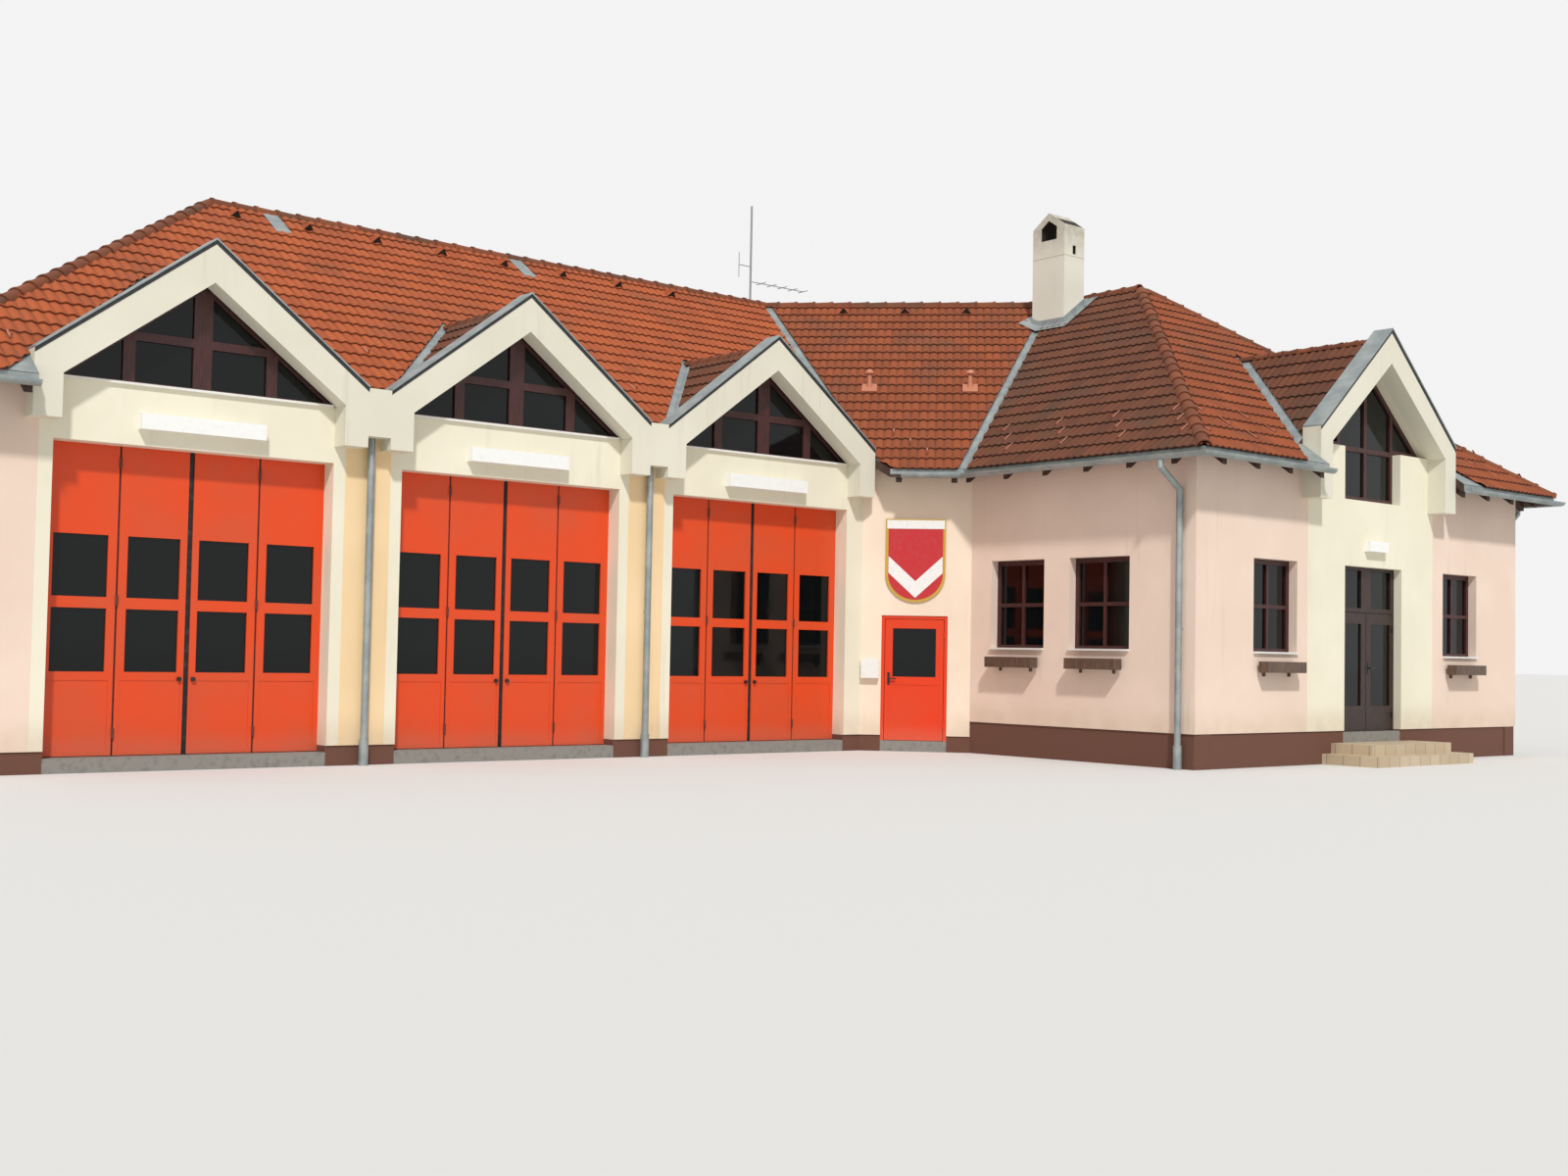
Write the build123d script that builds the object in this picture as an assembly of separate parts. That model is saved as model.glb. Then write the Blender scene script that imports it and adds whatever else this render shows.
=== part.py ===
from build123d import *
from math import cos, hypot, radians, sin, tan
import os

# A small fire station: a hall with three gates, an angled link and a wing in front.
# Millimetres, +Z up. +X runs right along the front of the hall, +Y into the building.
# The origin lies under the middle of the building, on the lowest ground that it meets.

# Levels above that ground
HALL_FLOOR = 180
WING_FLOOR = HALL_FLOOR + 320
HALL_PLINTH_TOP = HALL_FLOOR + 90
WING_PLINTH_TOP = HALL_FLOOR + 345
PLINTH_RECESS = 20

# Plan
WALL = 380
BAY_COUNT = 3
GATE_WIDTH = 3600
GATE_HEIGHT = 3860
PIER = 1000
BAY = GATE_WIDTH + PIER
HALL_END = 1450
HALL_DEPTH = 10500
BEND_MARGIN = 30
LINK_ANGLE = 45
LINK_FRONT = 1840
LINK_DEPTH = 10300
WING_SIDE = 4580
WING_WIDTH = 9500

# Main roof
ROOF_AT_WALL = HALL_FLOOR + 4880
ROOF_RIDGE = HALL_FLOOR + 8420
ROOF_THICK = 140
EAVES_DROP = 350
JOINT = 1
WING_HIP_RUN = 4880
RIDGE_TILE_RADIUS = 110
RIDGE_TILE_SKIN = 20
RIDGE_TILE_TRIM = 180
RAFTER_WIDTH = 100
RAFTER_DEPTH = 120
RAFTER_PITCH = 850
RAFTER_SETBACK = 60

# Gutters and downpipes
GUTTER_TOP = HALL_FLOOR + 4450
GUTTER_RADIUS = 75
GUTTER_SKIN = 5
PIPE_RADIUS = 50
PIPE_STAND = 35
PIPE_CLAMP = 30
PIPE_CLAMP_DROP = 300
PIPE_FOOT_RADIUS = 65
PIPE_FOOT_HEIGHT = 350
SIDE_PIPE_INSET = 240
NECK_STRAIGHT = 100
NECK_BOTTOM = HALL_FLOOR + 3970

# Rendered gable frames over the gates
LEG_WIDTH = 335
FRAME_DEPTH = 315
LEG_BOTTOM = HALL_FLOOR + 4075
PANEL_BOTTOM = HALL_FLOOR + 4230
FRAME_CORNER = HALL_FLOOR + 4610
FRAME_SHOULDER = HALL_FLOOR + 4875
FRAME_INNER_APEX = HALL_FLOOR + 5965
FRAME_OUTER_APEX = HALL_FLOOR + 6510
GABLE_ROOF_DROP = 170
CAPPING = 25
CAPPING_LAP = 20

# Glazed gables over the gates
GABLE_SILL = HALL_FLOOR + 4600
GABLE_POST = 240
GABLE_SIDE_POST = 150
GABLE_SIDE_POST_AT = 920
GABLE_TRANSOM = 110
GABLE_TRANSOM_AT = HALL_FLOOR + 5225
GABLE_BAR = 110
GABLE_SETBACK = 40
WINDOW_DEPTH = 70
GLASS = 8

# Folding gates, their heights above the hall's floor
LEAVES = 4
LEAF_THICK = 60
GATE_SETBACK = 280
SEAL_WIDTH = 66
SEAL_SETBACK = 15
LEAF_JOINT = 24
GATE_CLEARANCE = 10
PANE_MARGIN = 120
PANE_ROWS = ((1046, 1830), (1970, 2740))
PANEL_TOP = 940
PANEL_MARGIN = 70
PANEL_RELIEF = 8

# Doors
DOOR_FRAME = 55
DOOR_FRAME_DEPTH = 75
DOOR_LEAF = 55
DOOR_GAP = 8
HINGE_RADIUS = 11
HINGE_LENGTH = 110
HINGE_INSET = 200
HINGE_STAND = 2
HINGE_FLAP = (35, 5)
HINGE_PLAY = 0.3
HANDLE_HEIGHT = 1040
HANDLE_PLATE = (42, 6, 210)
HANDLE_LEVER = 125
HANDLE_RADIUS = 10
HANDLE_STAND = 48

# Side door in the link
SIDE_DOOR_AT = 345
SIDE_DOOR_WIDTH = 1110
SIDE_DOOR_HEIGHT = 2105
SIDE_DOOR_SETBACK = 20
SIDE_PANE_SIDE = 130
SIDE_PANE_BOTTOM = 1075
SIDE_PANE_TOP = 1890

# Entrance of the wing, its place from the left end of the wing's front
ENTRANCE_AT = 3930
ENTRANCE_WIDTH = 1700
ENTRANCE_SETBACK = 140
ENTRANCE_LEAF_TOP = HALL_FLOOR + 2270
ENTRANCE_MEETING_GAP = 12
ENTRANCE_FANLIGHT = HALL_FLOOR + 2350
ENTRANCE_FANLIGHT_SIDE = 110
ENTRANCE_POST = 290
ENTRANCE_INNER_STILE = 140
ENTRANCE_OUTER_STILE = 60
ENTRANCE_PANE_BOTTOM = 420
ENTRANCE_TOP_RAIL = 180

# Windows: the place of the left edge on the wall, and the width
SIDE_WINDOWS = ((465, 1155), (2150, 1200))
FRONT_WINDOWS = ((1440, 1150), (6960, 1140))
PLAIN_WINDOW = 1200
WINDOW_SILL = HALL_FLOOR + 1560
WINDOW_HEAD = HALL_FLOOR + 3025
WINDOW_SETBACK = 150
WINDOW_BAR = 80
WINDOW_CROSS = 60
SILL_THICK = 30
SILL_NOSE = 45
HALL_BACK_WINDOWS = 4
LINK_BACK_WINDOWS = 2
WING_RIGHT_WINDOWS = 3

# Entrance gable and its T-shaped window
DORMER_HALF = 1700
DORMER_FRAME_DEPTH = 330
DORMER_LEG_BOTTOM = HALL_FLOOR + 4030
DORMER_CORNER = HALL_FLOOR + 4950
DORMER_SHOULDER = HALL_FLOOR + 5150
DORMER_INNER_APEX = HALL_FLOOR + 6380
DORMER_OUTER_APEX = HALL_FLOOR + 6945
DORMER_SILL = HALL_FLOOR + 4110
DORMER_SHELF = HALL_FLOOR + 4970
DORMER_WINDOW_HALF = 830
DORMER_BAR = 80

# Steps at the entrance: a landing and a lower step around it
RISERS = 3
LANDING_WIDTH = 2380
LANDING_DEPTH = 710
STEP_TREAD = 255

# Fittings on the walls
LIGHT_BOX = (1600, 150, 200)
LIGHT_BOX_BOTTOM = HALL_FLOOR + 4055
LAMP = (560, 110, 170)
LAMP_BOTTOM = HALL_FLOOR + 3280
SHIELD_AT = 395
SHIELD_WIDTH = 1010
SHIELD_HEIGHT = 1405
SHIELD_STRAIGHT = 930
SHIELD_THICK = 30
SHIELD_TOP = HALL_FLOOR + 3735
MAILBOX = (300, 110, 300)
MAILBOX_AT = 10
MAILBOX_BOTTOM = HALL_FLOOR + 1045
MAILBOX_GABLE = 50
FLOWER_BOX = (1000, 180, 170)
FLOWER_BOX_SKIN = 15
FLOWER_BOX_DROP = 120
BRACKET = (20, 50, 230)
BRACKET_INSET = 170

# Fittings on the roof
CHIMNEY = (570, 800)
CHIMNEY_FROM_RIDGE_CORNER = (-576, -702)
CHIMNEY_SHOULDER = HALL_FLOOR + 9720
CHIMNEY_PEAK = 280
CHIMNEY_MOUTH = 400
CHIMNEY_MOUTH_SILL = HALL_FLOOR + 9465
CHIMNEY_MOUTH_APEX = HALL_FLOOR + 9850
CHIMNEY_SLOT = (100, 120, 170)
CHIMNEY_SLOT_AT = HALL_FLOOR + 9260
VENT_RADIUS = 40
VENT_HEIGHT = 430
VENT_CAP_RADIUS = 78
VENT_COLLAR = (50, 190)
VENT_INWARD = 1945
VENTS_ALONG = (-15, 1800)
HATCH = (260, 550)
HATCH_RISE = 60
HATCH_BELOW_RIDGE = 150
HATCHES_AT = (4740, 9290)
MAST_RADIUS = 22
MAST_FROM_BEND = 300
MAST_GAP = 5
MAST_TOP = HALL_FLOOR + 10430
ARM_AT = HALL_FLOOR + 9200
ARM_LENGTH = 300
DIPOLE = 500
BOOM_AT = HALL_FLOOR + 8900
BOOM_LENGTH = 1400
BOOM_ROD = 300
BOOM_RODS = 5
ROD_RADIUS = 8

os.makedirs("parts", exist_ok=True)

# Plan points, with the first gate's left jamb as zero
HALF_GATE = GATE_WIDTH / 2
GATE_CENTRES = [HALF_GATE + bay * BAY for bay in range(BAY_COUNT)]
LAST_JAMB = GATE_CENTRES[-1] + HALF_GATE
LAST_FRAME_EDGE = LAST_JAMB + LEG_WIDTH
TURN = tan(radians(LINK_ANGLE) / 2)
LINK_ALONG = (cos(radians(LINK_ANGLE)), -sin(radians(LINK_ANGLE)))
LINK_IN = (sin(radians(LINK_ANGLE)), cos(radians(LINK_ANGLE)))
LINK_OUT = (-LINK_IN[0], -LINK_IN[1])
HALL_LEFT = -HALL_END
BEND = (LAST_FRAME_EDGE + BEND_MARGIN, 0)
CORNER = (BEND[0] + LINK_FRONT * LINK_ALONG[0], LINK_FRONT * LINK_ALONG[1])
WING_LEFT = (CORNER[0], CORNER[1] - WING_SIDE)
WING_RIGHT = (WING_LEFT[0] + WING_WIDTH, WING_LEFT[1])
WALL_TOP = ROOF_AT_WALL - ROOF_THICK
GATE_HEAD = HALL_FLOOR + GATE_HEIGHT
RIDGE_Y = HALL_DEPTH / 2


def parallel(origin, across, distance):
    """The plan line a x + b y = c at this distance from a wall line, measured across it."""
    return (across[0], across[1], across[0] * origin[0] + across[1] * origin[1] + distance)


def meet(line_a, line_b):
    """Where two plan lines cross."""
    det = line_a[0] * line_b[1] - line_b[0] * line_a[1]
    x = (line_a[2] * line_b[1] - line_b[2] * line_a[1]) / det
    y = (line_a[0] * line_b[2] - line_b[0] * line_a[2]) / det
    return (x, y)


LINK_BACK_LINE = parallel(BEND, LINK_IN, LINK_DEPTH)
BACK_BEND = meet(LINK_BACK_LINE, (0, 1, HALL_DEPTH))
BACK_CORNER = meet(LINK_BACK_LINE, (1, 0, WING_RIGHT[0]))
HALL_BACK_LENGTH = BACK_BEND[0] - HALL_LEFT
LINK_BACK_LENGTH = hypot(BACK_CORNER[0] - BACK_BEND[0], BACK_CORNER[1] - BACK_BEND[1])
WING_RIGHT_LENGTH = BACK_CORNER[1] - WING_RIGHT[1]


def overhang(run):
    """How far a slope with this run from wall to ridge stands out, for eaves on one level."""
    return EAVES_DROP * run / (ROOF_RIDGE - ROOF_AT_WALL)


HALL_EAVES = overhang(HALL_DEPTH / 2)
LINK_EAVES = overhang(LINK_DEPTH / 2)
WING_SIDE_EAVES = overhang(WING_WIDTH / 2)
WING_FRONT_EAVES = overhang(WING_HIP_RUN)

# The middle of the plan, gutters and steps included, becomes the origin
STEPS_REACH = LANDING_DEPTH + STEP_TREAD
MIDDLE_X = (HALL_LEFT - HALL_EAVES + WING_RIGHT[0] + WING_SIDE_EAVES) / 2
MIDDLE_Y = (WING_LEFT[1] - STEPS_REACH + HALL_DEPTH + HALL_EAVES + 2 * GUTTER_RADIUS) / 2
TO_ORIGIN = Location((-MIDDLE_X, -MIDDLE_Y, 0))

# Each wall has its own frame: x to the right seen from outside, y inwards, z up
FRONT_OF_HALL = Location((0, 0, 0))
FRONT_OF_LINK = Location((BEND[0], BEND[1], 0), (0, 0, -LINK_ANGLE))
SIDE_OF_WING = Location((CORNER[0], CORNER[1], 0), (0, 0, -90))
FRONT_OF_WING = Location((WING_LEFT[0], WING_LEFT[1], 0))
RIGHT_OF_WING = Location((WING_RIGHT[0], WING_RIGHT[1], 0), (0, 0, 90))
BACK_OF_LINK = Location((BACK_CORNER[0], BACK_CORNER[1], 0), (0, 0, 180 - LINK_ANGLE))
BACK_OF_HALL = Location((BACK_BEND[0], BACK_BEND[1], 0), (0, 0, 180))
LEFT_OF_HALL = Location((HALL_LEFT, HALL_DEPTH, 0), (0, 0, -90))

NODES = {}


def add(name, frame, *solids):
    """Keep solids for one node, moved from their wall's frame to the building's."""
    NODES.setdefault(name, []).extend(TO_ORIGIN * frame * solid for solid in solids)


def block(x0, x1, y0, y1, z0, z1):
    """A box between two corners."""
    size = Box(x1 - x0, y1 - y0, z1 - z0, align=(Align.MIN, Align.MIN, Align.MIN))
    return Location((x0, y0, z0)) * size


def upright(points, y0, y1):
    """A solid with its outline in the wall's x and z, between two depths."""
    face = Face(Wire.make_polygon([(x, y0, z) for x, z in points], close=True))
    return extrude(face, amount=y1 - y0, dir=(0, 1, 0))


def level(points, z0, z1):
    """A solid with its outline in plan, between two heights."""
    face = Face(Wire.make_polygon([(x, y, z0) for x, y in points], close=True))
    return extrude(face, amount=z1 - z0, dir=(0, 0, 1))


def rod(start, direction, length, radius):
    """A round bar from a point, along an axis."""
    plane = Plane(origin=start, z_dir=direction)
    return extrude(plane * Circle(radius), amount=length)


# Roof slopes, as planes z = a x + b y + c
def slope(origin, inward, run):
    """A slope that rises inwards from its wall line to the ridge over this run."""
    rise = (ROOF_RIDGE - ROOF_AT_WALL) / run
    a, b = inward[0] * rise, inward[1] * rise
    return (a, b, ROOF_AT_WALL - a * origin[0] - b * origin[1])


def height(plane, point):
    """The slope's height over a plan point."""
    return plane[0] * point[0] + plane[1] * point[1] + plane[2]


def fold(plane_a, plane_b):
    """The plan line over which two slopes meet."""
    return (plane_a[0] - plane_b[0], plane_a[1] - plane_b[1], plane_b[2] - plane_a[2])


def slab(plane, points, thick=ROOF_THICK):
    """A roof slab over a plan outline, its thickness measured upright."""
    top = Wire.make_polygon([(x, y, height(plane, (x, y))) for x, y in points], close=True)
    return extrude(Face(top), amount=thick, dir=(0, 0, -1))


def space_under(plane, x, y, reach):
    """What lies under a slope around a plan point, to be cut from a piece that stands on it."""
    corners = [(x - reach, y - reach), (x + reach, y - reach), (x + reach, y + reach),
               (x - reach, y + reach)]
    return slab(plane, corners, ROOF_RIDGE - HALL_FLOOR)


HALL_FRONT = slope((0, 0), (0, 1), RIDGE_Y)
HALL_BACK = slope((0, HALL_DEPTH), (0, -1), RIDGE_Y)
HALL_SIDE = slope((HALL_LEFT, 0), (1, 0), RIDGE_Y)
LINK_FRONT_SLOPE = slope(BEND, LINK_IN, LINK_DEPTH / 2)
LINK_BACK_SLOPE = slope(BACK_BEND, LINK_OUT, LINK_DEPTH / 2)
WING_LEFT_SLOPE = slope(WING_LEFT, (1, 0), WING_WIDTH / 2)
WING_RIGHT_SLOPE = slope(WING_RIGHT, (-1, 0), WING_WIDTH / 2)
WING_FRONT_SLOPE = slope(WING_LEFT, (0, 1), WING_HIP_RUN)

# The eaves lines, each with its normal outwards, and the folds between neighbouring slopes
EAVES_LEFT = parallel((HALL_LEFT, 0), (-1, 0), HALL_EAVES)
EAVES_HALL_FRONT = parallel((0, 0), (0, -1), HALL_EAVES)
EAVES_HALL_BACK = parallel((0, HALL_DEPTH), (0, 1), HALL_EAVES)
EAVES_LINK = parallel(BEND, LINK_OUT, LINK_EAVES)
EAVES_LINK_BACK = parallel(BACK_BEND, LINK_IN, LINK_EAVES)
EAVES_WING_SIDE = parallel(WING_LEFT, (-1, 0), WING_SIDE_EAVES)
EAVES_WING_FRONT = parallel(WING_LEFT, (0, -1), WING_FRONT_EAVES)
EAVES_WING_RIGHT = parallel(WING_RIGHT, (1, 0), WING_SIDE_EAVES)
HIP_FRONT = fold(HALL_FRONT, HALL_SIDE)
HIP_BACK = fold(HALL_BACK, HALL_SIDE)
HIP_BACK_BEND = fold(HALL_BACK, LINK_BACK_SLOPE)
HIP_BACK_CORNER = fold(LINK_BACK_SLOPE, WING_RIGHT_SLOPE)
HIP_WING_LEFT = fold(WING_FRONT_SLOPE, WING_LEFT_SLOPE)
HIP_WING_RIGHT = fold(WING_FRONT_SLOPE, WING_RIGHT_SLOPE)
VALLEY = fold(LINK_FRONT_SLOPE, WING_LEFT_SLOPE)
LINK_RIDGE = fold(LINK_FRONT_SLOPE, LINK_BACK_SLOPE)

HALL_APEX = meet(HIP_FRONT, HIP_BACK)
WING_APEX = meet(HIP_WING_LEFT, HIP_WING_RIGHT)
RIDGE_BEND = meet(fold(HALL_FRONT, HALL_BACK), LINK_RIDGE)
RIDGE_CORNER = meet(LINK_RIDGE, fold(WING_LEFT_SLOPE, WING_RIGHT_SLOPE))


class Gable:
    """A gable frame and the little roof behind it, in the frame of the wall that carries it."""

    def __init__(self, centre, half, depth, levels, run):
        self.centre = centre
        self.half = half
        self.depth = depth
        self.leg_bottom, self.corner, self.shoulder, self.inner, self.outer = levels
        self.reach = half + LEG_WIDTH
        self.rise = (self.outer - self.shoulder) / self.reach
        self.inner_rise = (self.inner - self.corner) / half
        self.ridge = self.outer - GABLE_ROOF_DROP
        self.foot = (self.ridge - ROOF_AT_WALL) / self.rise
        self.meet = (self.ridge - ROOF_AT_WALL) * run / (ROOF_RIDGE - ROOF_AT_WALL)

    def frame(self):
        """Two legs and two rafters, as one rendered body."""
        c, half, reach = self.centre, self.half, self.reach
        points = [(c - reach, self.leg_bottom), (c - half, self.leg_bottom), (c - half, self.corner),
                  (c, self.inner), (c + half, self.corner), (c + half, self.leg_bottom),
                  (c + reach, self.leg_bottom), (c + reach, self.shoulder), (c, self.outer),
                  (c - reach, self.shoulder)]
        return upright(points, -self.depth, 0)

    def capping(self):
        """The sheet metal along the frame's top."""
        c, reach = self.centre, self.reach
        under = [(c - reach, self.shoulder), (c, self.outer), (c + reach, self.shoulder)]
        over = [(x, z + CAPPING) for x, z in reversed(under)]
        return upright(under + over, -self.depth - CAPPING_LAP, 0)

    def roof(self):
        """The two little slopes, back to where they run into the main slope."""
        solids = []
        for side in (-1, 1):
            ridge_x = self.centre + side * JOINT / 2
            foot_x = self.centre + side * self.foot
            corners = [(ridge_x, 0, self.ridge), (ridge_x, self.meet, self.ridge),
                       (foot_x, 0, ROOF_AT_WALL)]
            face = Face(Wire.make_polygon(corners, close=True))
            solids.append(extrude(face, amount=ROOF_THICK, dir=(0, 0, -1)))
        return solids


GATE_LEVELS = (LEG_BOTTOM, FRAME_CORNER, FRAME_SHOULDER, FRAME_INNER_APEX, FRAME_OUTER_APEX)
DORMER_LEVELS = (DORMER_LEG_BOTTOM, DORMER_CORNER, DORMER_SHOULDER, DORMER_INNER_APEX,
                 DORMER_OUTER_APEX)
GATE_GABLES = [Gable(c, HALF_GATE, FRAME_DEPTH, GATE_LEVELS, RIDGE_Y) for c in GATE_CENTRES]
DORMER = Gable(WING_WIDTH / 2, DORMER_HALF, DORMER_FRAME_DEPTH, DORMER_LEVELS, WING_HIP_RUN)
FIRST_FRAME_EDGE = GATE_GABLES[0].centre - GATE_GABLES[0].reach


def wall(x0, x1, plinth_top, top=WALL_TOP, turns=(0, 0), bare=(False, False)):
    """A wall whose plinth stands back. A turn lengthens or cuts the inner end at a bend,
    and a bare end is an outside face of its own."""
    def outline(skin):
        start = x0 + (skin if bare[0] else turns[0] * skin)
        end = x1 - (skin if bare[1] else turns[1] * skin)
        return [(start, skin), (end, skin), (x1 - turns[1] * WALL, WALL),
                (x0 + turns[0] * WALL, WALL)]
    return level(outline(PLINTH_RECESS), 0, plinth_top) + level(outline(0), plinth_top, top)


def spread(count, length):
    """The left edges of plain windows spaced evenly along a wall."""
    space = length / count
    return [space * (number + 0.5) - PLAIN_WINDOW / 2 for number in range(count)]


def window(frame, x, width):
    """Makes a cross-bar window with its glass and sill, and gives the hole for the wall."""
    y0, y1 = WINDOW_SETBACK, WINDOW_SETBACK + WINDOW_DEPTH
    middle_y = y0 + WINDOW_DEPTH / 2
    left, right = x + WINDOW_BAR, x + width - WINDOW_BAR
    low, high = WINDOW_SILL + WINDOW_BAR, WINDOW_HEAD - WINDOW_BAR
    half = WINDOW_CROSS / 2
    middle_x, middle_z = x + width / 2, (WINDOW_SILL + WINDOW_HEAD) / 2
    body = block(x, x + width, y0, y1, WINDOW_SILL, WINDOW_HEAD)
    body -= block(left, right, y0, y1, low, high)
    body += block(middle_x - half, middle_x + half, y0, middle_y, low, high)
    body += block(left, right, y0, middle_y, middle_z - half, middle_z + half)
    add("window_frames", frame, body)
    add("window_glass", frame, block(left, right, middle_y, middle_y + GLASS, low, high))
    add("window_sills", frame,
        block(x, x + width, -SILL_NOSE, y0, WINDOW_SILL, WINDOW_SILL + SILL_THICK))
    return block(x, x + width, 0, WALL, WINDOW_SILL, WINDOW_HEAD)


def flower_box(frame, x, width):
    """A trough on two brackets under a window."""
    length, depth, tall = FLOWER_BOX
    thick, arm, drop = BRACKET
    skin = FLOWER_BOX_SKIN
    left = x + (width - length) / 2
    right = left + length
    top = WINDOW_SILL - FLOWER_BOX_DROP
    body = block(left, right, -arm - depth, -arm, top - tall, top)
    body -= block(left + skin, right - skin, -arm - depth + skin, -arm - skin, top - tall + skin, top)
    for side in (left + BRACKET_INSET, right - BRACKET_INSET):
        body += block(side - thick / 2, side + thick / 2, -arm, 0, top - drop, top)
    add("flower_boxes", frame, body)


def floors():
    """A slab in each part of the building, with a sill under every door."""
    bend_in = (BEND[0] + TURN * WALL, WALL)
    back_in = (BACK_BEND[0] - TURN * WALL, HALL_DEPTH - WALL)
    corner_in = (CORNER[0] + WALL, CORNER[1] + TURN * WALL)
    far_in = (BACK_CORNER[0] - WALL, BACK_CORNER[1] - TURN * WALL)
    inner_left = HALL_LEFT + WALL
    inner_front = WING_LEFT[1] + WALL
    hall = level([(inner_left, WALL), (bend_in[0] - JOINT, WALL), (back_in[0] - JOINT, back_in[1]),
                  (inner_left, back_in[1])], 0, HALL_FLOOR)
    for centre in GATE_CENTRES:
        hall += block(centre - HALF_GATE, centre + HALF_GATE, PLINTH_RECESS, WALL, 0, HALL_FLOOR)
    link = level([bend_in, corner_in, far_in, back_in], 0, HALL_FLOOR)
    link += FRONT_OF_LINK * block(SIDE_DOOR_AT, SIDE_DOOR_AT + SIDE_DOOR_WIDTH, PLINTH_RECESS, WALL,
                                  0, HALL_FLOOR)
    wing = level([(corner_in[0], corner_in[1] - JOINT), (corner_in[0], inner_front),
                  (far_in[0], inner_front), (far_in[0], far_in[1] - JOINT)], 0, WING_FLOOR)
    wing += FRONT_OF_WING * block(ENTRANCE_AT, ENTRANCE_AT + ENTRANCE_WIDTH, PLINTH_RECESS, WALL,
                                  0, WING_FLOOR)
    add("floor_slabs", FRONT_OF_HALL, hall, link, wing)


def hall_walls():
    """The hall's walls: piers beside the gates, a head over them, an end and a back."""
    inner_left = HALL_LEFT + WALL
    add("hall_front_piers", FRONT_OF_HALL, wall(inner_left, 0, HALL_PLINTH_TOP, GATE_HEAD))
    for centre in GATE_CENTRES[:-1]:
        pier = wall(centre + HALF_GATE, centre + BAY - HALF_GATE, HALL_PLINTH_TOP, GATE_HEAD)
        add("hall_front_piers", FRONT_OF_HALL, pier)
    add("hall_front_piers", FRONT_OF_HALL,
        wall(LAST_JAMB, BEND[0], HALL_PLINTH_TOP, GATE_HEAD, turns=(0, -TURN)))
    head = level([(inner_left, 0), BEND, (BEND[0] + TURN * WALL, WALL), (inner_left, WALL)],
                 GATE_HEAD, WALL_TOP)
    for centre in GATE_CENTRES:
        head -= block(centre - HALF_GATE, centre + HALF_GATE, 0, WALL, GABLE_SILL, WALL_TOP)
    add("hall_front_head", FRONT_OF_HALL, head)
    add("hall_left_wall", LEFT_OF_HALL, wall(0, HALL_DEPTH, HALL_PLINTH_TOP, bare=(True, True)))
    back = wall(0, HALL_BACK_LENGTH - WALL, HALL_PLINTH_TOP, turns=(TURN, 0))
    for x in spread(HALL_BACK_WINDOWS, HALL_BACK_LENGTH):
        back -= window(BACK_OF_HALL, x, PLAIN_WINDOW)
    add("hall_back_wall", BACK_OF_HALL, back)


def link_walls():
    """The link's front, split around its door, and its back."""
    left, right = SIDE_DOOR_AT, SIDE_DOOR_AT + SIDE_DOOR_WIDTH
    door_head = HALL_FLOOR + SIDE_DOOR_HEIGHT
    add("side_door_piers", FRONT_OF_LINK,
        wall(0, left, HALL_PLINTH_TOP, door_head, turns=(-TURN, 0)),
        wall(right, LINK_FRONT, HALL_PLINTH_TOP, door_head, turns=(0, -TURN)))
    over = [(0, 0), (LINK_FRONT, 0), (LINK_FRONT + TURN * WALL, WALL), (-TURN * WALL, WALL)]
    add("side_door_head", FRONT_OF_LINK, level(over, door_head, WALL_TOP))
    back = wall(0, LINK_BACK_LENGTH, HALL_PLINTH_TOP, turns=(TURN, TURN))
    for x in spread(LINK_BACK_WINDOWS, LINK_BACK_LENGTH):
        back -= window(BACK_OF_LINK, x, PLAIN_WINDOW)
    add("link_back_wall", BACK_OF_LINK, back)


def dormer_outline(inset):
    """The T-shaped window's outline, drawn in by this much."""
    c, rise = DORMER.centre, DORMER.inner_rise
    apex = DORMER.inner - inset * hypot(1, rise)
    low, shelf = DORMER_SILL + inset, DORMER_SHELF + inset
    half = DORMER_WINDOW_HALF - inset
    reach = (apex - shelf) / rise
    return [(c - half, low), (c + half, low), (c + half, shelf), (c + reach, shelf), (c, apex),
            (c - reach, shelf), (c - half, shelf)]


def wing_walls():
    """The wing's side, front and right walls. The front goes up into the entrance gable."""
    side = wall(0, WING_SIDE, WING_PLINTH_TOP, turns=(-TURN, 0), bare=(False, True))
    for x, width in SIDE_WINDOWS:
        side -= window(SIDE_OF_WING, x, width)
        flower_box(SIDE_OF_WING, x, width)
    add("wing_side_wall", SIDE_OF_WING, side)
    ends = ((WALL, ENTRANCE_AT), (ENTRANCE_AT + ENTRANCE_WIDTH, WING_WIDTH - WALL))
    for (x0, x1), (x, width) in zip(ends, FRONT_WINDOWS):
        pier = wall(x0, x1, WING_PLINTH_TOP, WINDOW_HEAD)
        add("wing_front_piers", FRONT_OF_WING, pier - window(FRONT_OF_WING, x, width))
        flower_box(FRONT_OF_WING, x, width)
    left, right, c = WALL, WING_WIDTH - WALL, DORMER.centre
    head = upright([(left, WINDOW_HEAD), (right, WINDOW_HEAD), (right, WALL_TOP),
                    (c + DORMER.foot, WALL_TOP), (c, DORMER.ridge - ROOF_THICK),
                    (c - DORMER.foot, WALL_TOP), (left, WALL_TOP)], 0, WALL)
    add("wing_front_head", FRONT_OF_WING, head - upright(dormer_outline(0), 0, WALL))
    end = wall(0, WING_RIGHT_LENGTH, WING_PLINTH_TOP, turns=(0, TURN), bare=(True, False))
    for x in spread(WING_RIGHT_WINDOWS, WING_RIGHT_LENGTH):
        end -= window(RIGHT_OF_WING, x, PLAIN_WINDOW)
    add("wing_right_wall", RIGHT_OF_WING, end)


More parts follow.
